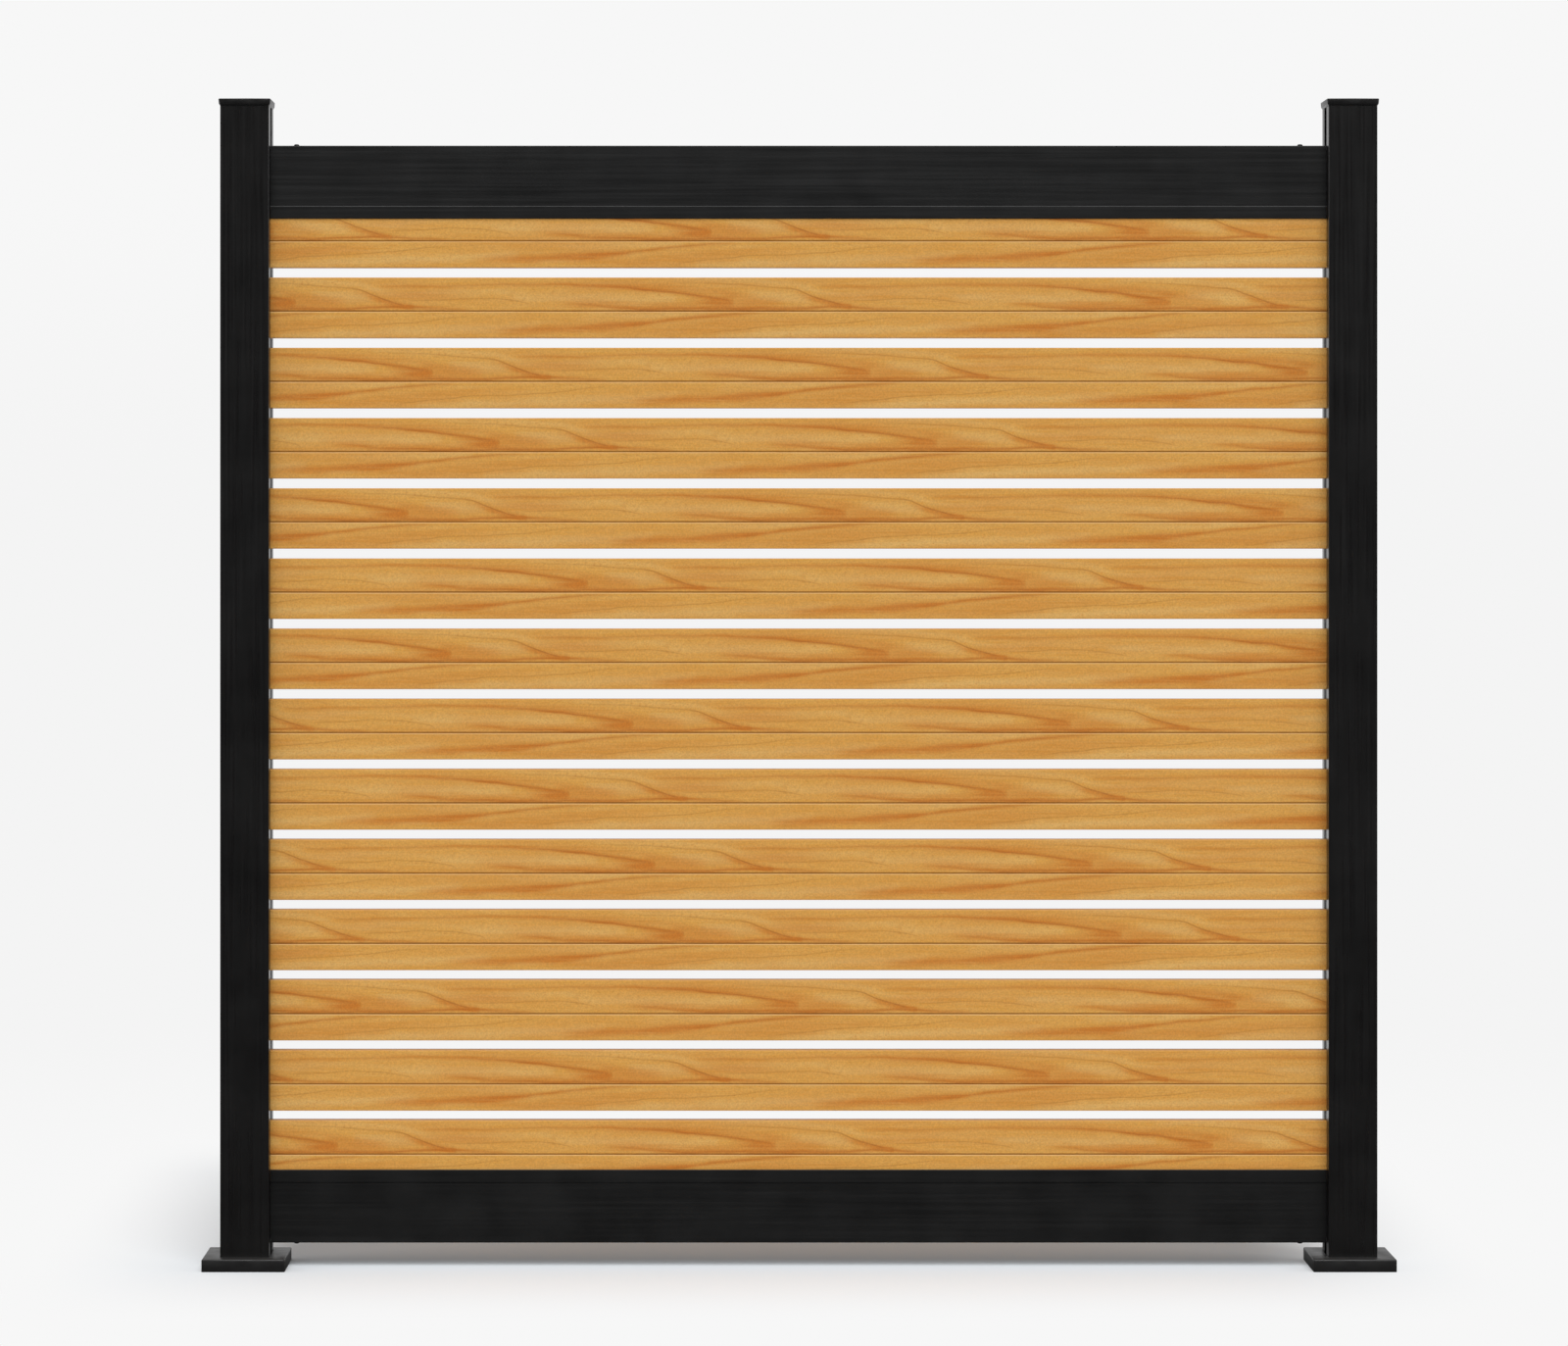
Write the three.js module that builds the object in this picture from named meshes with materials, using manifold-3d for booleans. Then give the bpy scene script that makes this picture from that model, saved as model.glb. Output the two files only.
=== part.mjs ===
// Garden privacy screen, 1.8 m wide. Two square aluminium posts stand on base plates.
// Each post has an open channel down its inner face. A top rail and a bottom rail join the
// posts, and fourteen hollow slats are stacked in the channels with a spacer between each pair.
//
// Millimetres. +X runs along the panel to the right, -Y is the front, +Z is up.
// The origin is on the floor, midway between the two posts.

import * as THREE from 'three';
import { mergeVertices } from 'three/addons/utils/BufferGeometryUtils.js';
import Module from 'manifold-3d';

const wasm = await Module();
wasm.setup();

// ---- Driving dimensions -------------------------------------------------------------------

const PANEL_WIDTH = 1800; // outer face to outer face of the posts
const SEAT = 0.3; // gap between two pieces that rest on each other

// Post: a square extrusion
const POST_SIZE = 76;
const POST_WALL = 2.2;
const POST_CORNER_RADIUS = 1.5;
const POST_ABOVE_RAIL = 60; // how far the post stands above the top rail

// Slat channel in the post's inner face
const CHANNEL_DEPTH = 22;
const CHANNEL_WALL = 2;

// Screw ports in the four corners of the post
const PORT_INSET = 7; // port centre from the post's outer faces
const PORT_RADIUS = 2.6;
const PORT_WALL = 2.6;
const PORT_SLOT = 2.2; // slit that keeps the port open along its length

// Slat: a hollow extrusion with a V groove along each face
const SLAT_COUNT = 14;
const SLAT_HEIGHT = 94.3;
const SLAT_THICKNESS = 25;
const SLAT_WALL = 1.4;
const SLAT_CORNER_RADIUS = 1.5;
const SLAT_GAP = 15.3; // open gap between two slats
const SLAT_SEAT = 18; // how far each end goes into a post
const SLAT_PLAY = 0.5; // room on each side of a slat in its channel
const GROOVE_HEIGHT = 41.8; // groove's centre line above the slat's lower edge
const GROOVE_WIDTH = 3;
const GROOVE_DEPTH = 1.6;

// Spacer: a U-shaped block in the post channel, between two slats
const SPACER_WALL = 3;
const SPACER_RECESS = 1; // its face behind the post's inner face
const SPACER_CHAMFER = 1;

// Rail: a box section with two flanges that hold the edge of a slat
const RAIL_HEIGHT = 114;
const RAIL_THICKNESS = 27;
const RAIL_WALL = 2;
const RAIL_CORNER_RADIUS = 1;
const RAIL_FLANGE_HEIGHT = 20;
const RAIL_FLANGE_WALL = 2;
const RAIL_CHANNEL_DEPTH = 18.3;
const RAIL_GROUND_GAP = 38; // clear height under the bottom rail

// Bracket: an L-shaped cleat, its leg in the post channel and its arm inside the rail
const BRACKET_THICKNESS = 3;
const BRACKET_LEG = 60;
const BRACKET_REACH = 60; // arm beyond the post's inner face
const BRACKET_FILLET = 4;
const BRACKET_SCREW_SPACING = 30;
const BRACKET_SCREW_FROM_ARM = 16;
const BRACKET_SCREW_LENGTH = 10; // shank beyond the leg

// Screws through the rails into the brackets, and on the brackets
const SCREW_RADIUS = 2.1;
const SCREW_HOLE_PLAY = 0.4;
const SCREW_HEAD_RADIUS = 4.2;
const SCREW_HEAD_HEIGHT = 2.8;
const SCREW_LENGTH = 9;
const SCREW_FROM_POST = 40; // screw's axis from the post's inner face

// Base plate under each post
const PLATE_SIZE = 120;
const PLATE_THICKNESS = 8;
const PLATE_CORNER_RADIUS = 6;
const ANCHOR_SPACING = 98;
const ANCHOR_HOLE_RADIUS = 6;
const PORT_SCREW_RADIUS = 2.1;
const PORT_SCREW_LENGTH = 28; // thread standing above the plate

// Base cover: a dress flange that hides the plate and slides up the post
const COVER_SIZE = 129;
const COVER_HEIGHT = 19.5;
const COVER_WALL = 3;
const COVER_BEVEL = 2;
const COVER_CORNER_RADIUS = 2;
const COVER_PLAY = 0.5; // room between the cover and the post, on each side

// Post cap
const CAP_OVERHANG = 2.5; // at the top of the rim
const CAP_LIP = 1.9; // overhang at the foot of the rim
const CAP_FLARE_HEIGHT = 3; // slope from the post out to the rim
const CAP_RIM_HEIGHT = 7.3;
const CAP_BEVEL = 0.7;
const CAP_RISE = 3.4; // shallow pyramid on top
const CAP_TIP = 3; // half width of the flat on the pyramid
const CAP_CORNER_RADIUS = 2;
const CAP_POCKET_DEPTH = 7;
const CAP_TAB_WIDTH = 34;
const CAP_TAB_DEPTH = 16;
const CAP_TAB_THICKNESS = 2;

// How finely round shapes are cut
const CORNER_STEPS = 3;
const ROUND_SIDES = 16;
const CUT_OVERRUN = 1; // how far a cutter runs past the face that it opens

// ---- Sizes that follow --------------------------------------------------------------------

const POST_HALF = POST_SIZE / 2;
const POST_CENTRE_X = PANEL_WIDTH / 2 - POST_HALF;
const CLEAR_WIDTH = PANEL_WIDTH - 2 * POST_SIZE;
const POST_FOOT_Z = PLATE_THICKNESS + SEAT;

const CHANNEL_WIDTH = SLAT_THICKNESS + 2 * SLAT_PLAY;
const CHANNEL_FLOOR = POST_HALF - CHANNEL_DEPTH; // from the post's centre

const SLAT_PITCH = SLAT_HEIGHT + SLAT_GAP;
const SLAT_LENGTH = CLEAR_WIDTH + 2 * SLAT_SEAT;
const BOTTOM_RAIL_TOP = RAIL_GROUND_GAP + RAIL_HEIGHT;
const FIRST_SLAT_Z = BOTTOM_RAIL_TOP - RAIL_CHANNEL_DEPTH + SEAT;
const LAST_SLAT_TOP = FIRST_SLAT_Z + (SLAT_COUNT - 1) * SLAT_PITCH + SLAT_HEIGHT;
const TOP_RAIL_TOP = LAST_SLAT_TOP + SEAT - RAIL_CHANNEL_DEPTH + RAIL_HEIGHT;
const RAIL_LENGTH = CLEAR_WIDTH - 2 * SEAT;
const POST_TOP_Z = TOP_RAIL_TOP + POST_ABOVE_RAIL;

const SCREW_HOLE_RADIUS = SCREW_RADIUS + SCREW_HOLE_PLAY;
const BRACKET_WIDTH = RAIL_THICKNESS - 2 * RAIL_WALL - 2 * SEAT;

// ---- Materials ----------------------------------------------------------------------------

const postBlack = new THREE.MeshStandardMaterial({ color: '#1b1a1a', roughness: 0.55, metalness: 0.2 });
const railBlack = new THREE.MeshStandardMaterial({ color: '#222222', roughness: 0.6, metalness: 0.2 });
const woodGrain = new THREE.MeshStandardMaterial({ color: '#cc954e', roughness: 0.5, metalness: 0 });
const coverBlack = new THREE.MeshStandardMaterial({ color: '#1d1c1b', roughness: 0.35, metalness: 0 });
const spacerBlack = new THREE.MeshStandardMaterial({ color: '#191919', roughness: 0.6, metalness: 0 });
const plateMetal = new THREE.MeshStandardMaterial({ color: '#8d8f92', roughness: 0.45, metalness: 0.8 });
const screwBlack = new THREE.MeshStandardMaterial({ color: '#161616', roughness: 0.4, metalness: 0.5 });

// ---- Solids and meshes --------------------------------------------------------------------

function solidOf(geometry) {
  const bare = geometry.clone();
  bare.deleteAttribute('normal');
  bare.deleteAttribute('uv');
  const merged = mergeVertices(bare);
  return new wasm.Manifold(new wasm.Mesh({
    numProp: 3,
    vertProperties: new Float32Array(merged.attributes.position.array),
    triVerts: new Uint32Array(merged.index.array),
  }));
}

function geometryOf(solid) {
  const { vertProperties, triVerts } = solid.getMesh();
  const geometry = new THREE.BufferGeometry();
  geometry.setAttribute('position', new THREE.BufferAttribute(vertProperties, 3));
  geometry.setIndex(new THREE.BufferAttribute(triVerts, 1));
  geometry.computeVertexNormals();
  return geometry;
}

function meshOf(name, solid, material) {
  const mesh = new THREE.Mesh(geometryOf(solid), material);
  mesh.name = name;
  return mesh;
}

// ---- Outlines and basic bodies ------------------------------------------------------------

function point(x, y) {
  return new THREE.Vector2(x, y);
}

// A quarter circle about (x, y), anticlockwise from the angle `start`
function quarterArc(x, y, radius, start) {
  const steps = Array.from({ length: CORNER_STEPS + 1 }, (_, i) => start + (i / CORNER_STEPS) * (Math.PI / 2));
  return steps.map((angle) => point(x + radius * Math.cos(angle), y + radius * Math.sin(angle)));
}

function rectangle(x0, y0, x1, y1) {
  return [point(x0, y0), point(x1, y0), point(x1, y1), point(x0, y1)];
}

function roundedSquare(half, radius) {
  const c = half - radius;
  return [
    ...quarterArc(c, c, radius, 0),
    ...quarterArc(-c, c, radius, Math.PI / 2),
    ...quarterArc(-c, -c, radius, Math.PI),
    ...quarterArc(c, -c, radius, 1.5 * Math.PI),
  ];
}

// A prism along Z from an outline in the XY plane, with through holes of other outlines
function prism(outline, bottom, top, holes = []) {
  const shape = new THREE.Shape(outline);
  holes.forEach((hole) => shape.holes.push(new THREE.Path(hole)));
  const geometry = new THREE.ExtrudeGeometry(shape, { depth: top - bottom, bevelEnabled: false });
  geometry.translate(0, 0, bottom);
  return solidOf(geometry);
}

// A bar along X, centred on x = 0, whose section is an outline in the YZ plane
function bar(outline, length, holes = []) {
  const shape = new THREE.Shape(outline);
  holes.forEach((hole) => shape.holes.push(new THREE.Path(hole)));
  const geometry = new THREE.ExtrudeGeometry(shape, { depth: length, bevelEnabled: false });
  geometry.translate(0, 0, -length / 2);
  const alongX = new THREE.Matrix4().makeBasis(
    new THREE.Vector3(0, 1, 0),
    new THREE.Vector3(0, 0, 1),
    new THREE.Vector3(1, 0, 0),
  );
  geometry.applyMatrix4(alongX);
  return solidOf(geometry);
}

function box(x0, y0, z0, x1, y1, z1) {
  return prism(rectangle(x0, y0, x1, y1), z0, z1);
}

function rodZ(x, y, radius, bottom, top) {
  const geometry = new THREE.CylinderGeometry(radius, radius, top - bottom, ROUND_SIDES);
  geometry.rotateX(Math.PI / 2);
  geometry.translate(x, y, (bottom + top) / 2);
  return solidOf(geometry);
}

function rodX(y, z, radius, start, end) {
  const geometry = new THREE.CylinderGeometry(radius, radius, end - start, ROUND_SIDES);
  geometry.rotateZ(-Math.PI / 2);
  geometry.translate((start + end) / 2, y, z);
  return solidOf(geometry);
}

// A body through a stack of rounded squares, each given by its height, half width and radius
function squareLoft(sections) {
  const rings = sections.map(({ z, half, radius }) => (
    roundedSquare(half, radius).map(({ x, y }) => new THREE.Vector3(x, y, z))
  ));
  const count = rings[0].length;
  const last = rings.length - 1;
  const bottomCentre = rings.length * count;
  const topCentre = bottomCentre + 1;
  const vertices = [
    ...rings.flat(),
    new THREE.Vector3(0, 0, sections[0].z),
    new THREE.Vector3(0, 0, sections[last].z),
  ];
  const triangles = [];
  for (let i = 0; i < count; i += 1) {
    const next = (i + 1) % count;
    triangles.push(bottomCentre, next, i);
    triangles.push(topCentre, last * count + i, last * count + next);
    for (let ring = 0; ring < last; ring += 1) {
      const low = ring * count;
      const high = low + count;
      triangles.push(low + i, low + next, high + next);
      triangles.push(low + i, high + next, high + i);
    }
  }
  const geometry = new THREE.BufferGeometry().setFromPoints(vertices);
  geometry.setIndex(triangles);
  return solidOf(geometry);
}

// Pan-head screw standing along Z: the head sits above z = 0 and the shank hangs below it
function panHeadScrew(shankLength) {
  const dome = SCREW_HEAD_HEIGHT / 2;
  const profile = [
    point(0, -shankLength),
    point(SCREW_RADIUS * 0.5, -shankLength),
    point(SCREW_RADIUS, -shankLength + SCREW_RADIUS),
    point(SCREW_RADIUS, 0),
    point(SCREW_HEAD_RADIUS, 0),
    point(SCREW_HEAD_RADIUS, SCREW_HEAD_HEIGHT - dome),
    point(SCREW_HEAD_RADIUS * 0.8, SCREW_HEAD_HEIGHT - dome * 0.3),
    point(SCREW_HEAD_RADIUS * 0.4, SCREW_HEAD_HEIGHT),
    point(0, SCREW_HEAD_HEIGHT),
  ];
  const geometry = new THREE.LatheGeometry(profile, ROUND_SIDES);
  geometry.rotateX(Math.PI / 2);
  return solidOf(geometry);
}

// ---- Post and what belongs to it, about the post's own centre, panel side towards +X ------

const portCentres = [-1, 1].flatMap((sx) => [-1, 1].map((sy) => (
  { x: sx * (POST_HALF - PORT_INSET), y: sy * (POST_HALF - PORT_INSET) }
)));

const bracketHeights = [
  { name: 'bottom', armFace: RAIL_GROUND_GAP + RAIL_WALL + SEAT, up: 1 },
  { name: 'top', armFace: TOP_RAIL_TOP - RAIL_WALL - SEAT, up: -1 },
];

function bracketScrewHeights(armFace, up) {
  const first = armFace + up * BRACKET_SCREW_FROM_ARM;
  return [first, first + up * BRACKET_SCREW_SPACING];
}

function post() {
  const half = POST_HALF;
  const inner = half - POST_WALL;
  const mouth = CHANNEL_WIDTH / 2;
  const channelBack = CHANNEL_FLOOR - CHANNEL_WALL;
  const channelSide = mouth + CHANNEL_WALL;
  const bottom = POST_FOOT_Z - CUT_OVERRUN;
  const top = POST_TOP_Z + CUT_OVERRUN;
  const outside = prism(roundedSquare(half, POST_CORNER_RADIUS), POST_FOOT_Z, POST_TOP_Z);
  const channel = box(CHANNEL_FLOOR, -mouth, bottom, half + CUT_OVERRUN, mouth, top);
  const channelWalls = box(channelBack, -channelSide, bottom, half + CUT_OVERRUN, channelSide, top);
  let hollow = prism(rectangle(-inner, -inner, inner, inner), bottom, top).subtract(channelWalls);
  let ports = null;
  for (const { x, y } of portCentres) {
    const slit = new THREE.BoxGeometry(PORT_INSET, PORT_SLOT, top - bottom);
    slit.translate(PORT_INSET / 2, 0, (top + bottom) / 2);
    slit.rotateZ(Math.atan2(-y, -x));
    slit.translate(x, y, 0);
    const bore = rodZ(x, y, PORT_RADIUS, bottom, top).add(solidOf(slit));
    hollow = hollow.subtract(rodZ(x, y, PORT_RADIUS + PORT_WALL, bottom - 1, top + 1));
    ports = ports ? ports.add(bore) : bore;
  }
  let body = outside.subtract(channel).subtract(hollow).subtract(ports);
  for (const { armFace, up } of bracketHeights) {
    for (const z of bracketScrewHeights(armFace, up)) {
      const start = channelBack - CUT_OVERRUN;
      body = body.subtract(rodX(0, z, SCREW_HOLE_RADIUS, start, CHANNEL_FLOOR + CUT_OVERRUN));
    }
  }
  return body;
}

function basePlate() {
  const half = PLATE_SIZE / 2;
  const anchor = ANCHOR_SPACING / 2;
  let plate = prism(roundedSquare(half, PLATE_CORNER_RADIUS), 0, PLATE_THICKNESS);
  for (const [x, y] of [[-anchor, -anchor], [-anchor, anchor], [anchor, -anchor], [anchor, anchor]]) {
    plate = plate.subtract(rodZ(x, y, ANCHOR_HOLE_RADIUS, -CUT_OVERRUN, PLATE_THICKNESS + CUT_OVERRUN));
  }
  for (const { x, y } of portCentres) {
    const top = PLATE_THICKNESS + PORT_SCREW_LENGTH;
    plate = plate.add(rodZ(x, y, PORT_SCREW_RADIUS, PLATE_THICKNESS / 2, top));
  }
  return plate;
}

function baseCover() {
  const half = COVER_SIZE / 2;
  const bevelStart = COVER_HEIGHT - COVER_BEVEL;
  const opening = POST_HALF + COVER_PLAY;
  const shell = squareLoft([
    { z: 0, half, radius: COVER_CORNER_RADIUS },
    { z: bevelStart, half, radius: COVER_CORNER_RADIUS },
    { z: COVER_HEIGHT, half: half - COVER_BEVEL, radius: COVER_CORNER_RADIUS },
  ]);
  const inside = half - COVER_WALL;
  const hollow = box(-inside, -inside, -CUT_OVERRUN, inside, inside, COVER_HEIGHT - COVER_WALL);
  const postHole = box(-opening, -opening, 0, opening, opening, COVER_HEIGHT + CUT_OVERRUN);
  return shell.subtract(hollow).subtract(postHole);
}

function postCap() {
  const edge = POST_HALF + CAP_OVERHANG;
  const rimTop = CAP_FLARE_HEIGHT + CAP_RIM_HEIGHT;
  const bevelTop = rimTop + CAP_BEVEL;
  const radius = CAP_CORNER_RADIUS;
  const tabOuter = POST_HALF - POST_WALL - SEAT;
  const tabInner = tabOuter - CAP_TAB_THICKNESS;
  const tabHalf = CAP_TAB_WIDTH / 2;
  let cap = squareLoft([
    { z: 0, half: POST_HALF, radius },
    { z: CAP_FLARE_HEIGHT, half: POST_HALF + CAP_LIP, radius },
    { z: rimTop, half: edge, radius },
    { z: bevelTop, half: edge - CAP_BEVEL, radius },
    { z: bevelTop + CAP_RISE, half: CAP_TIP, radius },
  ]);
  cap = cap.subtract(box(-tabInner, -tabInner, -CUT_OVERRUN, tabInner, tabInner, CAP_POCKET_DEPTH));
  const rootZ = CAP_POCKET_DEPTH / 2;
  const tabs = [
    box(-tabOuter, -tabHalf, -CAP_TAB_DEPTH, -tabInner, tabHalf, rootZ),
    box(-tabHalf, -tabOuter, -CAP_TAB_DEPTH, tabHalf, -tabInner, rootZ),
    box(-tabHalf, tabInner, -CAP_TAB_DEPTH, tabHalf, tabOuter, rootZ),
  ];
  return tabs.reduce((body, tab) => body.add(tab), cap);
}

// The U opens towards the channel's floor; the two front corners are chamfered
function spacer() {
  const back = CHANNEL_FLOOR + SEAT;
  const front = POST_HALF - SPACER_RECESS;
  const half = SLAT_THICKNESS / 2;
  const inner = half - SPACER_WALL;
  const outline = [
    point(back, -half),
    point(front - SPACER_CHAMFER, -half),
    point(front, -half + SPACER_CHAMFER),
    point(front, half - SPACER_CHAMFER),
    point(front - SPACER_CHAMFER, half),
    point(back, half),
    point(back, inner),
    point(front - SPACER_WALL, inner),
    point(front - SPACER_WALL, -inner),
    point(back, -inner),
  ];
  return prism(outline, 0, SLAT_GAP - 2 * SEAT);
}

// The arm's outer face is at z = 0 and the leg runs towards +Z, or towards -Z where up is -1
function bracket(up) {
  const legX = CHANNEL_FLOOR + SEAT;
  const legFace = legX + BRACKET_THICKNESS;
  const armEnd = POST_HALF + BRACKET_REACH;
  const half = BRACKET_WIDTH / 2;
  const section = [
    point(legX, 0),
    point(armEnd, 0),
    point(armEnd, BRACKET_THICKNESS),
    point(legFace + BRACKET_FILLET, BRACKET_THICKNESS),
    point(legFace, BRACKET_THICKNESS + BRACKET_FILLET),
    point(legFace, BRACKET_LEG),
    point(legX, BRACKET_LEG),
  ];
  const shape = new THREE.Shape(section);
  const geometry = new THREE.ExtrudeGeometry(shape, { depth: BRACKET_WIDTH, bevelEnabled: false });
  geometry.rotateX(Math.PI / 2);
  geometry.translate(0, half, 0);
  let body = solidOf(geometry);
  const screwX = POST_HALF + SCREW_FROM_POST;
  body = body.subtract(rodZ(screwX, 0, SCREW_HOLE_RADIUS, -CUT_OVERRUN, BRACKET_THICKNESS + CUT_OVERRUN));
  for (const z of bracketScrewHeights(0, 1)) {
    const shankEnd = legX - BRACKET_SCREW_LENGTH;
    body = body.add(rodX(0, z, SCREW_RADIUS, shankEnd, legFace));
    body = body.add(rodX(0, z, SCREW_HEAD_RADIUS, legX + 1, legFace + SCREW_HEAD_HEIGHT));
  }
  return up > 0 ? body : body.rotate([180, 0, 0]);
}

// ---- Slat and rail ------------------------------------------------------------------------

function slat() {
  const half = SLAT_THICKNESS / 2;
  const inner = half - SLAT_WALL;
  const radius = SLAT_CORNER_RADIUS;
  const c = half - radius;
  const top = SLAT_HEIGHT - radius;
  const grooveHalf = GROOVE_WIDTH / 2;
  const grooveFloor = half - GROOVE_DEPTH;
  const outline = [
    ...quarterArc(c, top, radius, 0),
    ...quarterArc(-c, top, radius, Math.PI / 2),
    point(-half, GROOVE_HEIGHT + grooveHalf),
    point(-grooveFloor, GROOVE_HEIGHT),
    point(-half, GROOVE_HEIGHT - grooveHalf),
    ...quarterArc(-c, radius, radius, Math.PI),
    ...quarterArc(c, radius, radius, 1.5 * Math.PI),
    point(half, GROOVE_HEIGHT - grooveHalf),
    point(grooveFloor, GROOVE_HEIGHT),
    point(half, GROOVE_HEIGHT + grooveHalf),
  ];
  // Three cells; the webs stand behind the groove and halfway up the taller part. The cells
  // are cut back beside the groove so that the wall keeps its thickness round the V.
  const web = SLAT_WALL / 2;
  const low = SLAT_WALL;
  const high = SLAT_HEIGHT - SLAT_WALL;
  const middle = (GROOVE_HEIGHT + high) / 2;
  const neck = inner - GROOVE_DEPTH;
  const slope = grooveHalf + web;
  const cells = [
    [
      point(-inner, low),
      point(inner, low),
      point(inner, GROOVE_HEIGHT - web - slope),
      point(neck, GROOVE_HEIGHT - web),
      point(-neck, GROOVE_HEIGHT - web),
      point(-inner, GROOVE_HEIGHT - web - slope),
    ],
    [
      point(-neck, GROOVE_HEIGHT + web),
      point(neck, GROOVE_HEIGHT + web),
      point(inner, GROOVE_HEIGHT + web + slope),
      point(inner, middle - web),
      point(-inner, middle - web),
      point(-inner, GROOVE_HEIGHT + web + slope),
    ],
    rectangle(-inner, middle + web, inner, high),
  ];
  return bar(outline, SLAT_LENGTH, cells);
}

// The rail with its channel upwards. Its outer edge is at z = 0.
function rail() {
  const half = RAIL_THICKNESS / 2;
  const inner = half - RAIL_WALL;
  const radius = RAIL_CORNER_RADIUS;
  const c = half - radius;
  const mouth = CHANNEL_WIDTH / 2;
  const flangeArcX = mouth + RAIL_FLANGE_WALL - radius; // centre of a flange edge that is rounded off
  const flangeStart = RAIL_HEIGHT - RAIL_FLANGE_HEIGHT;
  const channelFloor = RAIL_HEIGHT - RAIL_CHANNEL_DEPTH;
  const outline = [
    ...quarterArc(-c, radius, radius, Math.PI),
    ...quarterArc(c, radius, radius, 1.5 * Math.PI),
    point(half, flangeStart),
    ...quarterArc(flangeArcX, flangeStart + radius, radius, 1.5 * Math.PI),
    ...quarterArc(flangeArcX, RAIL_HEIGHT - radius, radius, 0),
    point(mouth, RAIL_HEIGHT),
    point(mouth, channelFloor),
    point(-mouth, channelFloor),
    point(-mouth, RAIL_HEIGHT),
    ...quarterArc(-flangeArcX, RAIL_HEIGHT - radius, radius, Math.PI / 2),
    ...quarterArc(-flangeArcX, flangeStart + radius, radius, Math.PI),
    point(-half, flangeStart),
  ];
  const cellTop = channelFloor - RAIL_WALL;
  const middle = (RAIL_WALL + cellTop) / 2;
  const web = RAIL_WALL / 2;
  const cells = [
    rectangle(-inner, RAIL_WALL, inner, middle - web),
    rectangle(-inner, middle + web, inner, cellTop),
  ];
  let body = bar(outline, RAIL_LENGTH, cells);
  const screwX = CLEAR_WIDTH / 2 - SCREW_FROM_POST;
  for (const x of [-screwX, screwX]) {
    body = body.subtract(rodZ(x, 0, SCREW_HOLE_RADIUS, -CUT_OVERRUN, RAIL_WALL + CUT_OVERRUN));
  }
  return body;
}

// ---- Assembly -----------------------------------------------------------------------------

function twoDigits(number) {
  return String(number).padStart(2, '0');
}

// One post with all that it carries. The right side is the left side turned half a turn.
function postAssembly(side) {
  const isRight = side === 'right';
  const group = new THREE.Group();
  group.position.x = isRight ? POST_CENTRE_X : -POST_CENTRE_X;
  group.rotation.z = isRight ? Math.PI : 0;

  const plate = meshOf(`${side}_base_plate`, basePlate(), plateMetal);
  const cover = meshOf(`${side}_base_cover`, baseCover(), coverBlack);
  const upright = meshOf(`${side}_post`, post(), postBlack);
  const cap = meshOf(`${side}_post_cap`, postCap(), coverBlack);
  cap.position.z = POST_TOP_Z + SEAT;
  group.add(plate, cover, upright, cap);

  for (const { name, armFace, up } of bracketHeights) {
    const cleat = meshOf(`${name}_${side}_bracket`, bracket(up), plateMetal);
    cleat.position.z = armFace;
    const screw = meshOf(`${name}_${side}_screw`, panHeadScrew(SCREW_LENGTH), screwBlack);
    screw.position.x = POST_HALF + SCREW_FROM_POST;
    screw.position.z = armFace - up * (RAIL_WALL + 2 * SEAT);
    screw.rotation.x = up > 0 ? Math.PI : 0;
    group.add(cleat, screw);
  }

  for (let i = 1; i < SLAT_COUNT; i += 1) {
    const block = meshOf(`${side}_spacer_${twoDigits(i)}`, spacer(), spacerBlack);
    block.position.z = FIRST_SLAT_Z + i * SLAT_PITCH - SLAT_GAP + SEAT;
    group.add(block);
  }
  return group;
}

function slats() {
  const group = new THREE.Group();
  for (let i = 0; i < SLAT_COUNT; i += 1) {
    const board = meshOf(`slat_${twoDigits(i + 1)}`, slat(), woodGrain);
    board.position.z = FIRST_SLAT_Z + i * SLAT_PITCH;
    group.add(board);
  }
  return group;
}

function rails() {
  const group = new THREE.Group();
  const bottomRail = meshOf('bottom_rail', rail(), railBlack);
  bottomRail.position.z = RAIL_GROUND_GAP;
  const topRail = meshOf('top_rail', rail(), railBlack);
  topRail.position.z = TOP_RAIL_TOP;
  topRail.rotation.x = Math.PI;
  group.add(bottomRail, topRail);
  return group;
}

const privacyScreen = new THREE.Group();
privacyScreen.add(postAssembly('left'), postAssembly('right'), rails(), slats());

export default privacyScreen;
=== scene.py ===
# %% [markdown]
# # A slatted garden privacy screen
#
# Two square black aluminium posts stand on plates that dress covers hide. A black rail joins
# them at the top and one at the bottom, and fourteen hollow slats with a printed wood finish
# are stacked between the rails, with an open gap between each slat and the next. The solids
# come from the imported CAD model. This lesson gives them their finishes, remodels the post
# caps, base covers and rail screws with finer edges, and sets up the studio. Everything is in
# metres: +X to the right, -Y to the front, +Z up.

# %% Load the frame
import math

import bmesh
import bpy
from mathutils import Matrix, Vector


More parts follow.
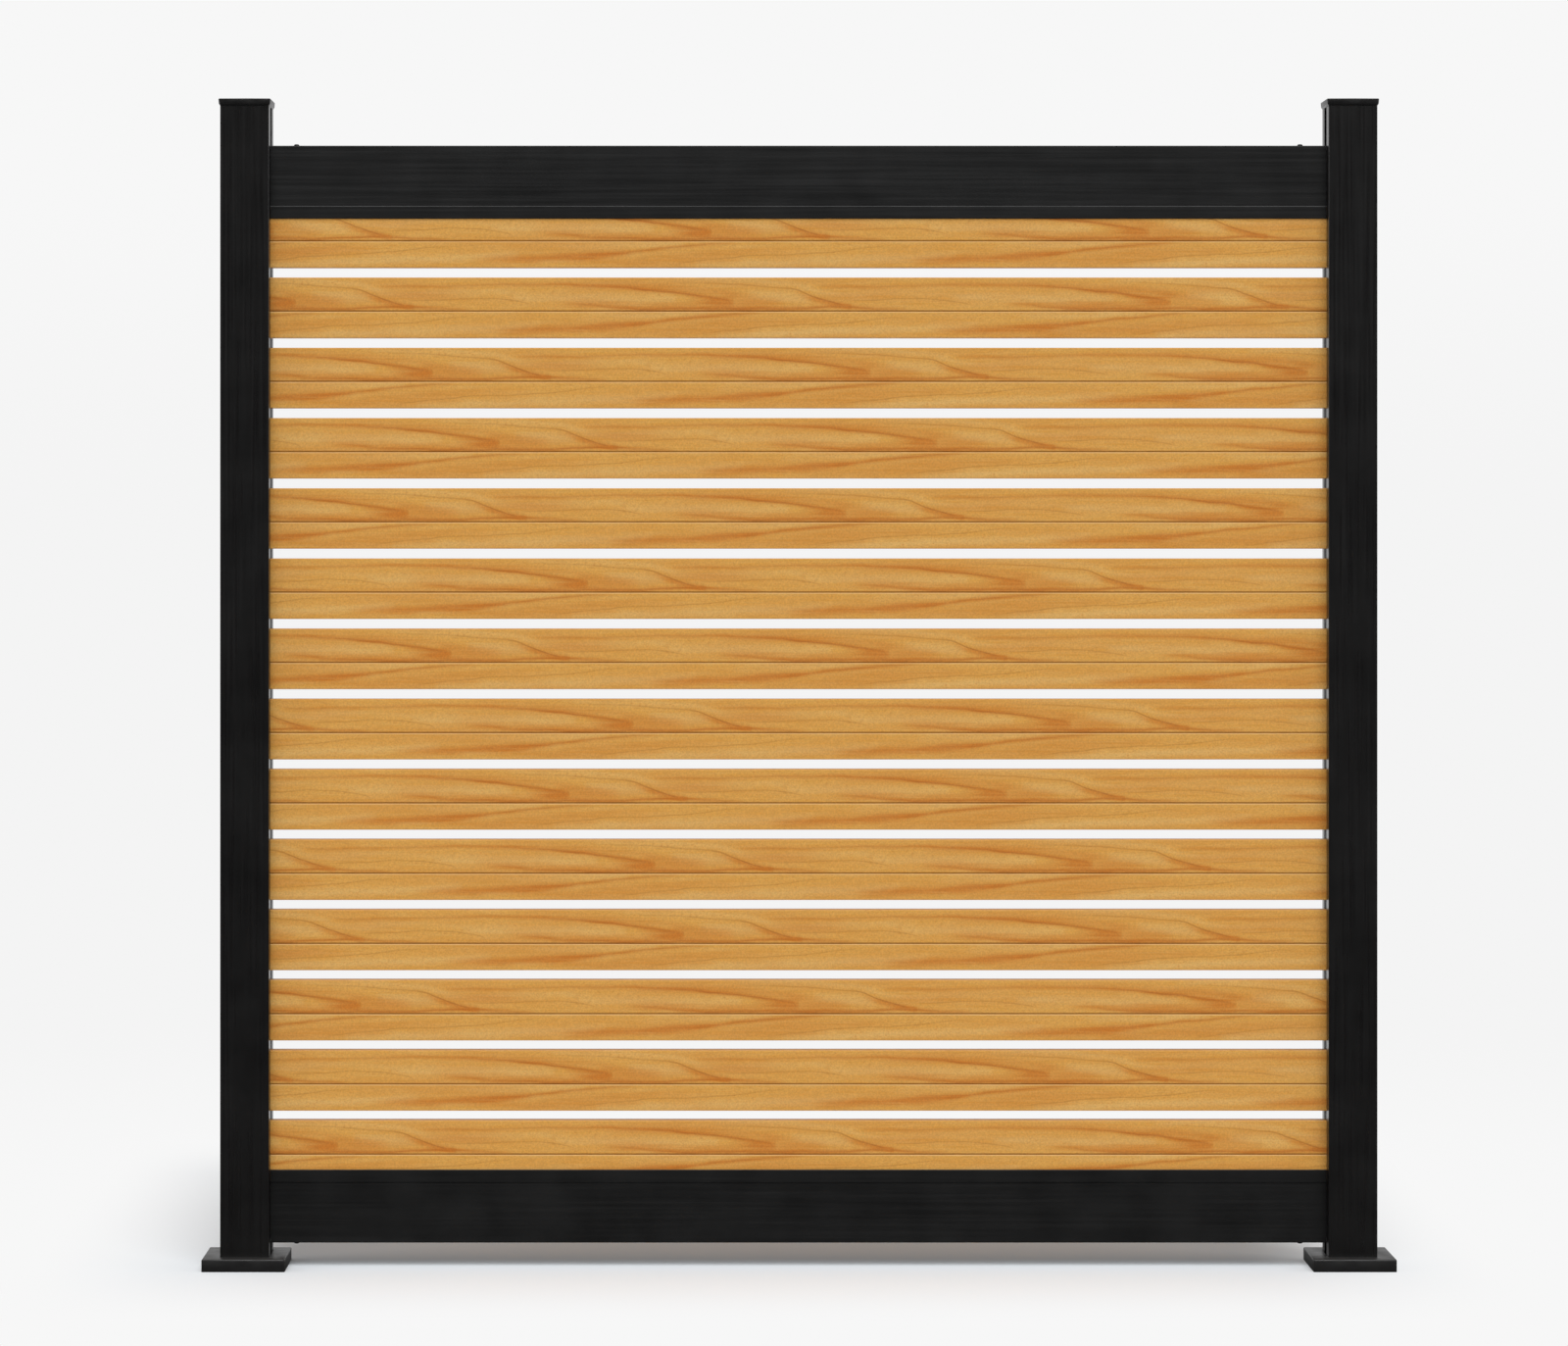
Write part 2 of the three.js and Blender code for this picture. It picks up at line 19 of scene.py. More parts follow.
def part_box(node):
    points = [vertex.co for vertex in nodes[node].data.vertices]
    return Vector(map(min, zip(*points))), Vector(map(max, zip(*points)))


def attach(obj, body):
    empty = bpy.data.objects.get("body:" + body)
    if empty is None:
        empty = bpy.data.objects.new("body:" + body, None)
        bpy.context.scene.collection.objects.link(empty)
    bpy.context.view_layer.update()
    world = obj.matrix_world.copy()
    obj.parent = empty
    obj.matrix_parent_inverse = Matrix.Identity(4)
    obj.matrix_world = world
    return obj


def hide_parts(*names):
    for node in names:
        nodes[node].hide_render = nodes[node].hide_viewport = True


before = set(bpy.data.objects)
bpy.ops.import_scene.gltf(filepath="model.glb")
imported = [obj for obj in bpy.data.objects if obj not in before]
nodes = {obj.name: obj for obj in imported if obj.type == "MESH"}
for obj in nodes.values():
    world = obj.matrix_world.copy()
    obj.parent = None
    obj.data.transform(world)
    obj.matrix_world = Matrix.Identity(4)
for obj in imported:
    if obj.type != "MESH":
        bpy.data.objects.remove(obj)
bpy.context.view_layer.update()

# %% [markdown]
# ## Reading positions off the frame
#
# The CAD already knows where everything is, so the pieces take their places from its boxes
# instead of from copied numbers. A millimetre constant keeps the small sizes readable.

# %% Places and sizes that the pieces share
MM = 0.001
post_low, post_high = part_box("right_post")
POST_CENTRE = (post_low.x + post_high.x) / 2
POST_HALF = post_high.y
slat_low, slat_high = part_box("slat_01")
SLAT_HALF_DEPTH = slat_high.y
SLAT_HEIGHT = slat_high.z - slat_low.z
print(f"posts at x = +-{POST_CENTRE:.4f}, {2 * POST_HALF / MM:.0f} mm square")
print(f"slats {SLAT_HEIGHT / MM:.1f} mm high, {2 * SLAT_HALF_DEPTH / MM:.0f} mm thick")

# %% [markdown]
# ## The camera
#
# The picture was taken by a level camera far from the screen, so upright lines stay upright.
# A level camera with a little lens shift does the same: the shift moves the frame off the
# optical axis without tilting anything. Names in PX are pixels of the 1600 x 1373 picture.

# %% Camera
PICTURE_WIDTH = 1600
PICTURE_HEIGHT = 1373
FOCAL_LENGTH_PX = 4878
AXIS_COLUMN_PX = 716  # the column and the row that the lens looks straight at
HORIZON_ROW_PX = 526
SENSOR_WIDTH_MM = 36
CAMERA_PLACE = (-0.151, -7.472, 1.172)  # 7.5 m in front of the screen, 1.2 m up

camera_data = bpy.data.cameras.new("camera")
camera_data.sensor_width = SENSOR_WIDTH_MM
camera_data.lens = FOCAL_LENGTH_PX / PICTURE_WIDTH * SENSOR_WIDTH_MM
camera_data.shift_x = (PICTURE_WIDTH / 2 - AXIS_COLUMN_PX) / PICTURE_WIDTH
camera_data.shift_y = (HORIZON_ROW_PX - PICTURE_HEIGHT / 2) / PICTURE_WIDTH
camera = bpy.data.objects.new("camera", camera_data)
camera.location = CAMERA_PLACE
camera.rotation_euler = (math.radians(90), 0, 0)  # level, looking along +Y
bpy.context.scene.collection.objects.link(camera)
bpy.context.scene.camera = camera
bpy.context.scene.view_settings.view_transform = "Standard"
print(f"lens {camera_data.lens:.1f} mm, shift {camera_data.shift_x:.3f}, {camera_data.shift_y:.3f}")

# %% [markdown]
# ## Colours, pattern sizes and nodes
#
# Colours are written as the hex values a painter would pick from the picture. Blender works
# with linear light, so one function converts them. A noise is scaled in cells per metre, so a
# second one turns the real size of a pattern's cells into that scale. A third function adds a
# shader node, sets its options and links its inputs, which keeps each material readable from
# top to bottom.

# %% Helpers for every material
NOISE_RANGE = {"From Min": 0.3, "From Max": 0.7}  # nearly all of a noise lies between these


def linear(hex_colour):
    """An sRGB hex colour as the linear RGBA that a shader socket takes, by the standard's
    own numbers."""
    parts = [int(hex_colour[i:i + 2], 16) / 255 for i in (1, 3, 5)]
    light = [p / 12.92 if p <= 0.04045 else ((p + 0.055) / 1.055) ** 2.4 for p in parts]
    return (*light, 1.0)


def cells_of(*sizes_mm):
    """The scale of a pattern with cells of this size: one size, or one for each axis."""
    scales = tuple(1 / (size * MM) for size in sizes_mm)
    return scales if len(scales) > 1 else scales[0]


def add_node(tree, kind, inputs=None, **options):
    """Adds a node, sets its options, then fills its inputs. An input is a number, a colour,
    an output, or a node, which stands for its first output that is in use."""
    node = tree.nodes.new(kind)
    for option, value in options.items():
        setattr(node, option, value)
    for key, value in (inputs or {}).items():
        socket = next(s for i, s in enumerate(node.inputs) if key in (i, s.identifier, s.name))
        if isinstance(value, bpy.types.Node):
            value = next(out for out in value.outputs if out.enabled)
        if isinstance(value, bpy.types.NodeSocket):
            tree.links.new(value, socket)
        else:
            socket.default_value = value
    return node


def new_material(name):
    """An empty node material and its tree."""
    material = bpy.data.materials.new(name)
    material.use_nodes = True
    material.node_tree.nodes.clear()
    return material, material.node_tree


print("mid grey is", round(linear("#808080")[0], 3), "in linear light")
print("cells of 2.5 mm need a scale of", cells_of(2.5))

# %% [markdown]
# ## The background's whites
#
# The screen stands in a white studio, whose background gets a shade greyer towards the
# horizon. A real studio does it with one long sweep of paper. Here a flat floor and the world
# are painted alike, so that no seam shows between them. Both look one way to the camera and
# another way to the object, so both ask what kind of ray has arrived.

# %% Whites, and what the camera sees
BACKGROUND_WHITE = "#F7F7F7"
HORIZON_WHITE = "#F4F4F4"
CAMERA_SIDE_DIM = 0.045  # brightness of the room's end behind the camera, where 1 is white
WALL_BRIGHT = 1.0  # brightness of the wall behind the screen


def seen_by_camera(tree):
    """1 for what the camera sees, straight or through glass, and 0 for light that falls on
    the object."""
    ray = add_node(tree, "ShaderNodeLightPath")
    return add_node(
        tree, "ShaderNodeMath",
        {0: ray.outputs["Is Camera Ray"], 1: ray.outputs["Is Transmission Ray"]},
        operation="ADD",
    )


print("background", BACKGROUND_WHITE, "and", HORIZON_WHITE, "at the horizon")

# %% [markdown]
# ## The floor
#
# A wide disc is the floor. It reaches so far that its edge can't be told from the horizon.

# %% Floor disc
FLOOR_RADIUS = 60

bpy.ops.object.select_all(action="DESELECT")
bpy.ops.mesh.primitive_circle_add(vertices=96, radius=FLOOR_RADIUS, fill_type="NGON")
floor = bpy.context.object
floor.name = "studio_floor"
print("floor laid,", FLOOR_RADIUS, "m radius")

# %% [markdown]
# The paint fades from a surface that catches the screen's shadow into the white of the
# background. The patch that shows shadow lies mostly behind the screen, where its long shadow
# falls, and is hardly wider than the screen. The rest is white to the camera only, so it puts
# no extra light on the object. A reflection sees a white floor too, but only behind the
# screen: towards the camera it gets dim, and the black fronts mirror that part.

# %% Floor paint
FLOOR_WHITE = "#ECF0F4"
GREYING = (1.2, 4.0)  # metres from the screen's middle where the floor starts and ends greying
MIRROR_RISE = (-0.1, 1.6)  # metres along Y where the mirrored floor starts and ends brightening
SHADOW_PATCH = {  # axis: (middle, start and end of the fade, both from the middle), in metres
    "X": (-0.05, 0.74, 1.16),
    "Y": (0.50, 0.50, 1.00),
}

floor_paint, tree = new_material("matt_white_floor_paint")
place = add_node(tree, "ShaderNodeTexCoord").outputs["Object"]
split = add_node(tree, "ShaderNodeSeparateXYZ", {0: place})
shares = []
for axis, (middle, start, end) in SHADOW_PATCH.items():
    off = add_node(
        tree, "ShaderNodeMath", {0: split.outputs[axis], 1: middle}, operation="SUBTRACT"
    )
    away = add_node(tree, "ShaderNodeMath", {0: off}, operation="ABSOLUTE")
    shares.append(add_node(
        tree, "ShaderNodeMapRange",
        {"Value": away, "From Min": start, "From Max": end, "To Min": 1.0, "To Max": 0.0},
        interpolation_type="SMOOTHSTEP",
    ))
shown = add_node(tree, "ShaderNodeMath", {0: shares[0], 1: shares[1]}, operation="MULTIPLY")
fade = add_node(tree, "ShaderNodeMath", {0: 1.0, 1: shown}, operation="SUBTRACT")
lit = add_node(tree, "ShaderNodeBsdfDiffuse", {"Color": linear(FLOOR_WHITE)})
mirrored_white = add_node(
    tree, "ShaderNodeMapRange",
    {"Value": split.outputs["Y"], "From Min": MIRROR_RISE[0], "From Max": MIRROR_RISE[1],
     "To Min": CAMERA_SIDE_DIM, "To Max": WALL_BRIGHT},
    interpolation_type="SMOOTHSTEP",
)
mirrored = add_node(tree, "ShaderNodeEmission", {"Strength": mirrored_white})
reach = add_node(tree, "ShaderNodeVectorMath", {0: place}, operation="LENGTH")
far_off = add_node(
    tree, "ShaderNodeMapRange",
    {"Value": reach.outputs["Value"], "From Min": GREYING[0], "From Max": GREYING[1]},
    interpolation_type="SMOOTHSTEP",
)
paper = add_node(
    tree, "ShaderNodeMix",
    {"Factor_Float": far_off, "A_Color": linear(BACKGROUND_WHITE),
     "B_Color": linear(HORIZON_WHITE)},
    data_type="RGBA",
)
white = add_node(tree, "ShaderNodeEmission", {"Color": paper})
to_camera = add_node(
    tree, "ShaderNodeMath", {0: fade, 1: seen_by_camera(tree)}, operation="MULTIPLY"
)
reflection = add_node(tree, "ShaderNodeLightPath").outputs["Is Glossy Ray"]
in_room = add_node(tree, "ShaderNodeMixShader", {0: reflection, 1: lit, 2: mirrored})
surface = add_node(tree, "ShaderNodeMixShader", {0: to_camera, 1: in_room, 2: white})
add_node(tree, "ShaderNodeOutputMaterial", {"Surface": surface})
floor.data.materials.append(floor_paint)
print("floor painted, with a shadow patch of", SHADOW_PATCH)

# %% [markdown]
# ## The room
#
# The world is the rest of the studio. To the camera it is the same background as the floor.
# To light and to reflections it is a room: a bright wall behind the screen, a grey ceiling,
# and the dim end where the camera stands. The wall lights the back and the inner sides of the
# posts.

# %% World
CEILING_GREY = 0.24
WALL_RISE = (-0.45, 0.45)  # how far a direction leans along +Y, from the dim end to the wall
WALL_TOP = (0.25, 0.8)  # sine of the height above the horizon, where the wall ends
SKYLINE = 0.075  # the same, where the background that the camera sees is whitest again

world = bpy.data.worlds.new("studio_room")
world.use_nodes = True
tree = world.node_tree
tree.nodes.clear()
way = add_node(tree, "ShaderNodeSeparateXYZ", {0: add_node(tree, "ShaderNodeTexCoord")})
wall = add_node(
    tree, "ShaderNodeMapRange",
    {"Value": way.outputs["Y"], "From Min": WALL_RISE[0], "From Max": WALL_RISE[1],
     "To Min": CAMERA_SIDE_DIM, "To Max": WALL_BRIGHT},
    interpolation_type="SMOOTHSTEP",
)
upward = add_node(
    tree, "ShaderNodeMapRange",
    {"Value": way.outputs["Z"], "From Min": WALL_TOP[0], "From Max": WALL_TOP[1]},
    interpolation_type="SMOOTHSTEP",
)
room = add_node(tree, "ShaderNodeMix", {"Factor": upward, "A": wall, "B": CEILING_GREY})
walls = add_node(tree, "ShaderNodeBackground", {"Strength": room})
above = add_node(
    tree, "ShaderNodeMapRange",
    {"Value": way.outputs["Z"], "From Min": 0.0, "From Max": SKYLINE},
    interpolation_type="SMOOTHSTEP",
)
paper = add_node(
    tree, "ShaderNodeMix",
    {"Factor_Float": above, "A_Color": linear(HORIZON_WHITE),
     "B_Color": linear(BACKGROUND_WHITE)},
    data_type="RGBA",
)
white = add_node(tree, "ShaderNodeBackground", {"Color": paper})
surface = add_node(tree, "ShaderNodeMixShader", {0: seen_by_camera(tree), 1: walls, 2: white})
add_node(tree, "ShaderNodeOutputWorld", {"Surface": surface})
bpy.context.scene.world = world
world.cycles.sampling_method = "NONE"  # so that each kind of ray gets its own answer
print("room:", CAMERA_SIDE_DIM, "behind the camera,", WALL_BRIGHT, "behind the screen")

# %% [markdown]
# ## The lamps
#
# One high lamp in front gives the main light. It stands so far off that it is a sun lamp with
# a wide disc: the light is soft, and as strong at the screen's foot as at its top. It is high
# enough that the flat black fronts mirror it down to the floor and stay deep black. Two weak
# soft boxes fill the sides.

# %% Lamps
AIM = Vector((0, 0, 0.9))  # half way up the screen
KEY_PLACE = Vector((0.5, -5.0, 6.6))  # a sun lamp's place only sets the way it shines
KEY_STRENGTH = 2.45
KEY_DISC = math.radians(50)
SOFT_BOX_OUT = 5.0  # metres to the side, to the front and up
SOFT_BOX_FORWARD = 1.0
SOFT_BOX_UP = 2.6
SOFT_BOX_SIDE = 2.2
SOFT_BOX_WATTS = 40


def place_lamp(lamp, spot):
    """Hangs the lamp at the spot and turns it to the middle of the screen."""
    holder = bpy.data.objects.new(lamp.name, lamp)
    holder.location = spot
    holder.rotation_euler = (AIM - Vector(spot)).to_track_quat("-Z", "Y").to_euler()
    bpy.context.scene.collection.objects.link(holder)
    print(lamp.name, "at", tuple(spot))


key = bpy.data.lights.new("high_front_lamp", "SUN")
key.energy = KEY_STRENGTH
key.angle = KEY_DISC
place_lamp(key, KEY_PLACE)
for side_name, out in (("left", -SOFT_BOX_OUT), ("right", SOFT_BOX_OUT)):
    box = bpy.data.lights.new(f"{side_name}_soft_box", "AREA")
    box.size = SOFT_BOX_SIDE
    box.energy = SOFT_BOX_WATTS
    place_lamp(box, (out, -SOFT_BOX_FORWARD, SOFT_BOX_UP))

# %% [markdown]
# ## Wood print on the slats
#
# The slats are hollow aluminium with a heat-transferred wood print, a film of grain under a
# satin coat. The same print repeats every 683 mm, and each slat was cut from it at another
# place. A noise alone gives no such pattern: this grain is a drawing, with two long pointed
# flames, a loose arc and a wide dark streak. So each grain line is drawn as a curve of
# height against length, and a band round that curve is tinted.

# %% One drawn grain line
PRINT_REPEAT = 0.683  # metres, from one flame's tip to the same tip again
CURVE_HEIGHT_MM = 100  # what a curve value of 1 stands for


def set_curve(node, points):
    """Puts a float curve through the points, flat beyond its ends."""
    curve = node.mapping.curves[0]
    while len(curve.points) < len(points):
        curve.points.new(0.5, 0.5)  # anywhere, because the next loop moves it
    for dot, (x, y) in zip(curve.points, points):
        dot.location = (x, y)
    node.mapping.extend = "HORIZONTAL"
    node.mapping.update()


def grain_line(tree, along, height, start, span, path, strength, half_width):
    """How strong one grain line is. It starts at `start` and is `span` long, both in repeats.
    The path gives height in mm, and the strength 0 to 1, against the share of the span."""
    from_start = add_node(tree, "ShaderNodeMath", {0: along, 1: start}, operation="SUBTRACT")
    wrapped = add_node(tree, "ShaderNodeMath", {0: from_start}, operation="FRACT")
    share = add_node(tree, "ShaderNodeMath", {0: wrapped, 1: span}, operation="DIVIDE")
    route = add_node(tree, "ShaderNodeFloatCurve", {"Value": share})
    set_curve(route, [(x, mm / CURVE_HEIGHT_MM) for x, mm in path])
    weight = add_node(tree, "ShaderNodeFloatCurve", {"Value": share})
    set_curve(weight, strength)
    centre = add_node(tree, "ShaderNodeMath", {0: route, 1: CURVE_HEIGHT_MM}, operation="MULTIPLY")
    apart = add_node(tree, "ShaderNodeMath", {0: height, 1: centre}, operation="SUBTRACT")
    off = add_node(tree, "ShaderNodeMath", {0: apart}, operation="ABSOLUTE")
    band = add_node(
        tree, "ShaderNodeMapRange",
        {"Value": off, "From Min": 0.0, "From Max": half_width, "To Min": 1.0, "To Max": 0.0},
        interpolation_type="SMOOTHSTEP",
    )
    return add_node(tree, "ShaderNodeMath", {0: band, 1: weight}, operation="MULTIPLY")


# %% [markdown]
# The drawing itself. Heights are millimetres above the slat's lower edge; the V groove is at
# 41.8. Pale patches are the straw-coloured early wood, broad bands are the soft orange of the
# late wood, and thin lines are its dark edges.

# %% The grain drawing
LONG_FLAME = [(0, 81), (0.12, 80), (0.31, 82.5), (0.44, 83.5), (0.59, 82.2), (0.69, 79),
              (0.79, 73.7), (0.89, 67.5), (0.94, 64), (1, 58)]
SHORT_FLAME = [(0.05, 86.5), (0.24, 86), (0.37, 84.5), (0.49, 82), (0.61, 79), (0.73, 75.5),
               (0.80, 68.5), (0.88, 60.5), (1, 50.5)]
GROOVE_SIDE = [(0.02, 53), (0.08, 50.5), (0.11, 48), (0.18, 46.4), (0.28, 45.5), (0.46, 45.5),
               (0.65, 46), (0.78, 48), (0.83, 48), (0.9, 45.5), (1, 44)]
LOW_STREAK = [(0, 16), (0.27, 19.5), (0.45, 24.5), (0.64, 31), (0.77, 34.5), (1, 39.5)]
PALE_PATCHES = [  # start, span, path, strength, half width in mm
    (0.25, 0.38, [(0, 64), (1, 60)], [(0, 0), (0.3, 0.8), (0.7, 0.9), (1, 0)], 13),
    (0.79, 0.15, [(0, 68), (1, 60)], [(0, 0), (0.5, 0.9), (1, 0)], 13),
    (0.72, 0.60, [(0, 4), (0.4, 9), (1, 20)], [(0, 0), (0.2, 0.8), (0.8, 0.9), (1, 0)], 11),
    (0.40, 0.30, [(0, 33), (1, 37)], [(0, 0), (0.3, 0.6), (0.8, 0.7), (1, 0)], 7),
    (0.62, 0.75, [(0, 90), (0.35, 85), (0.5, 68), (0.7, 72), (1, 56)],
     [(0, 0), (0.1, 0.5), (0.3, 0.6), (0.5, 0.6), (0.8, 0.4), (1, 0)], 8),
]
BROAD_BANDS = [
    (-0.05, 0.80, LONG_FLAME,
     [(0, 0), (0.1, 0.45), (0.25, 0.35), (0.44, 0.65), (0.6, 0.6), (0.7, 0.6), (0.8, 0.7),
      (0.9, 0.65), (1, 0)], 6),
    (0.36, 0.42, [(0, 84), (0.3, 83), (0.6, 78), (0.85, 72), (1, 66)],
     [(0, 0), (0.3, 0.35), (0.8, 0.4), (1, 0)], 11),
    (0.65, 0.11, [(0, 63), (0.5, 57.5), (1, 56)], [(0, 0), (0.4, 0.6), (0.7, 0.85), (1, 0)], 11),
    (0.38, 0.78, GROOVE_SIDE,
     [(0, 0), (0.11, 0.4), (0.22, 0.75), (0.5, 0.8), (0.8, 0.8), (0.9, 0.6), (1, 0)], 5.5),
    (0.36, 0.52, [(0, 54), (0.5, 51), (1, 53)], [(0, 0), (0.25, 0.45), (0.8, 0.4), (1, 0)], 10),
    (0.90, 0.13, [(0, 72), (0.25, 64), (0.5, 56.5), (0.8, 51), (1, 48)],
     [(0, 0), (0.3, 0.5), (0.6, 0.75), (0.85, 0.85), (1, 0)], 8),
    (0.21, 0.37, [(0, 11), (0.25, 12.5), (0.5, 14.5), (0.75, 18.5), (1, 24)],
     [(0, 0), (0.2, 0.55), (0.4, 0.85), (0.7, 0.9), (0.9, 0.5), (1, 0)], 11),
    (0.38, 0.44, LOW_STREAK,
     [(0, 0), (0.25, 0.4), (0.5, 0.75), (0.75, 0.6), (0.9, 0.4), (1, 0)], 5.5),
    (0.42, 0.42, [(0, 8), (0.5, 9), (1, 15)], [(0, 0), (0.3, 0.4), (0.8, 0.35), (1, 0)], 12),
    (0.55, 0.45, [(0, 16), (0.4, 22), (1, 28)], [(0, 0), (0.3, 0.35), (0.7, 0.35), (1, 0)], 11),
    (0.72, 0.16, [(0, 66), (1, 58)], [(0, 0), (0.35, 0.45), (0.7, 0.3), (1, 0)], 12),
    (-0.06, 0.22, [(0, 64), (1, 68)], [(0, 0), (0.5, 0.25), (1, 0)], 14),
]
THIN_LINES = [
    (-0.05, 0.80, LONG_FLAME,
     [(0, 0), (0.1, 0.15), (0.6, 0.1), (0.7, 0.3), (0.8, 0.45), (0.9, 0.4), (1, 0)], 2.2),
    (0.60, 0.41, SHORT_FLAME,
     [(0, 0), (0.3, 0.25), (0.65, 0.35), (0.76, 0.55), (0.9, 0.55), (1, 0)], 2.0),
    (0.02, 0.285, [(0, 59), (0.14, 58.3), (0.28, 59), (0.42, 61), (0.53, 61.6), (0.7, 60.2),
                   (0.84, 57.8), (0.93, 55), (1, 50)],
     [(0, 0), (0.2, 0.35), (0.5, 0.3), (0.9, 0.35), (1, 0)], 1.7),
    (0.66, 0.50, [(0, 4), (0.12, 9.5), (0.2, 12.5), (0.28, 15.5), (0.34, 18), (0.44, 19.2),
                  (0.58, 21), (0.68, 23), (0.78, 26), (0.88, 30), (1, 34)],
     [(0, 0), (0.15, 0.3), (0.34, 0.4), (0.5, 0.3), (0.8, 0.35), (1, 0)], 1.7),
    (0.38, 0.78, GROOVE_SIDE, [(0, 0), (0.2, 0.3), (0.6, 0.3), (0.9, 0.25), (1, 0)], 2.2),
    (0.38, 0.44, LOW_STREAK, [(0, 0), (0.3, 0.1), (0.6, 0.25), (0.8, 0.25), (1, 0)], 2),
]
print(len(PALE_PATCHES), "pale patches,", len(BROAD_BANDS), "bands,", len(THIN_LINES), "lines")

# %% [markdown]
# ## The print as a node group
#
# A node group is a material's part that other materials can share. Fourteen copies of the
# drawing would be slow to build and to change, so it is made once, in a group, and each
# slat's material only moves it along. The group is fed a place whose Z is the height above
# the slat's lower edge. The film rolls over the slat's edges, so on the narrow top and bottom
# faces the height runs on with the depth. A slow wobble keeps the lines from looking ruled.

# %% The group and its coordinates
WOBBLE_MM = 6.0  # a noise stays near its middle, so this moves the lines by 1.5 mm or so

print_group = bpy.data.node_groups.new("wood_print", "ShaderNodeTree")
print_group.interface.new_socket("Place", in_out="INPUT", socket_type="NodeSocketVector")
print_group.interface.new_socket("Colour", in_out="OUTPUT", socket_type="NodeSocketColor")
print_group.interface.new_socket("Grain", in_out="OUTPUT", socket_type="NodeSocketFloat")

tree = print_group
place = add_node(tree, "NodeGroupInput").outputs["Place"]
split = add_node(tree, "ShaderNodeSeparateXYZ", {0: place})
depth = add_node(tree, "ShaderNodeMath", {0: split.outputs["Y"]}, operation="ABSOLUTE")
inward = add_node(tree, "ShaderNodeMath", {0: SLAT_HALF_DEPTH, 1: depth}, operation="SUBTRACT")
rolled = add_node(tree, "ShaderNodeMath", {0: split.outputs["Z"], 1: inward}, operation="ADD")
in_mm = add_node(tree, "ShaderNodeMath", {0: rolled, 1: 1 / MM}, operation="MULTIPLY")
# The wobble's waves are 56 mm long and 33 mm high.
wobble_place = add_node(
    tree, "ShaderNodeMapping", {"Vector": place, "Scale": cells_of(55.6, 1000, 33.3)}
)
wobble = add_node(tree, "ShaderNodeTexNoise", {"Vector": wobble_place, "Scale": 1, "Detail": 3})
raised = add_node(
    tree, "ShaderNodeMath", {0: wobble, 1: WOBBLE_MM, 2: in_mm}, operation="MULTIPLY_ADD"
)
height = add_node(tree, "ShaderNodeMath", {0: raised, 1: WOBBLE_MM / 2}, operation="SUBTRACT")
along = add_node(
    tree, "ShaderNodeMath", {0: split.outputs["X"], 1: PRINT_REPEAT}, operation="DIVIDE"
)
print("the print repeats every", PRINT_REPEAT, "m")

# %% [markdown]
# Each drawn shape becomes a mask, and the masks of one kind are added up. So there are three
# in the end: where the wood is pale, where it is late wood, and where a dark line runs.

# %% The three drawn masks
def add_up(tree, masks):
    """The sum of several masks, kept between 0 and 1."""
    total = masks[0]
    for mask in masks[1:]:
        total = add_node(
            tree, "ShaderNodeMath", {0: total, 1: mask}, operation="ADD", use_clamp=True
        )
    return total


pale_wood = add_up(tree, [grain_line(tree, along, height, *patch) for patch in PALE_PATCHES])
late_wood = add_up(tree, [grain_line(tree, along, height, *band) for band in BROAD_BANDS])
dark_lines = add_up(tree, [grain_line(tree, along, height, *line) for line in THIN_LINES])
print(len(tree.nodes), "nodes draw the grain")

# %% [markdown]
# Between its drawn lines wood has fibres, pores, and slow patches of a warmer tone. None of
# them has a figure that the eye would follow, so noises stretched along the slat do. Their
# cells have the real sizes, and what is finer than a pixel is as coarse as it needs to show.

# %% Fibres, pores and warm patches
# A cell holds a light and a dark fibre: 2.4 mm across the grain, about 60 mm along it.
fibre_place = add_node(
    tree, "ShaderNodeMapping", {"Vector": place, "Scale": cells_of(62.5, 16.7, 2.38)}
)
fibres = add_node(
    tree, "ShaderNodeTexNoise", {"Vector": fibre_place, "Scale": 1, "Detail": 5, "Roughness": 0.65}
)
fibre_tone = add_node(
    tree, "ShaderNodeMapRange",
    {"Value": fibres, "From Min": 0.32, "From Max": 0.68, "To Max": 0.55},
)
ragged = add_node(
    tree, "ShaderNodeMapRange", {**NOISE_RANGE, "Value": fibres, "To Min": 1.0, "To Max": 0.6}
)
# Pores are short dashes 1.5 mm high and 4 mm long, the smallest that the render shows.
pore_place = add_node(
    tree, "ShaderNodeMapping", {"Vector": place, "Scale": cells_of(4.35, 16.7, 1.54)}
)
pores = add_node(tree, "ShaderNodeTexNoise", {"Vector": pore_place, "Scale": 1, "Detail": 2})
pore_dots = add_node(
    tree, "ShaderNodeMapRange",
    {"Value": pores, "From Min": 0.55, "From Max": 0.75, "To Max": 0.5},
)
# The warm patches are about 200 mm long and 26 mm high.
patch_place = add_node(
    tree, "ShaderNodeMapping", {"Vector": place, "Scale": cells_of(200, 50, 26.3)}
)
patches = add_node(tree, "ShaderNodeTexNoise", {"Vector": patch_place, "Scale": 1, "Detail": 2})
patch_tone = add_node(
    tree, "ShaderNodeMapRange",
    {"Value": patches, "From Min": 0.45, "From Max": 0.7, "To Max": 0.25},
)
print("fibres, pores and patches added")

# %% [markdown]
# The colours go on in the order that wood has them: straw-coloured early wood on a warm
# ground, then the soft orange of the late wood with its pores, then the dark lines.

# %% Colours of the print
WARM_WOOD = "#D1963C"
PALE_WOOD = "#D5A65C"
LATE_WOOD = "#C0711A"
DARK_LINE = "#9A5711"
PALE_STRENGTH = 0.75
LINE_STRENGTH = 0.9

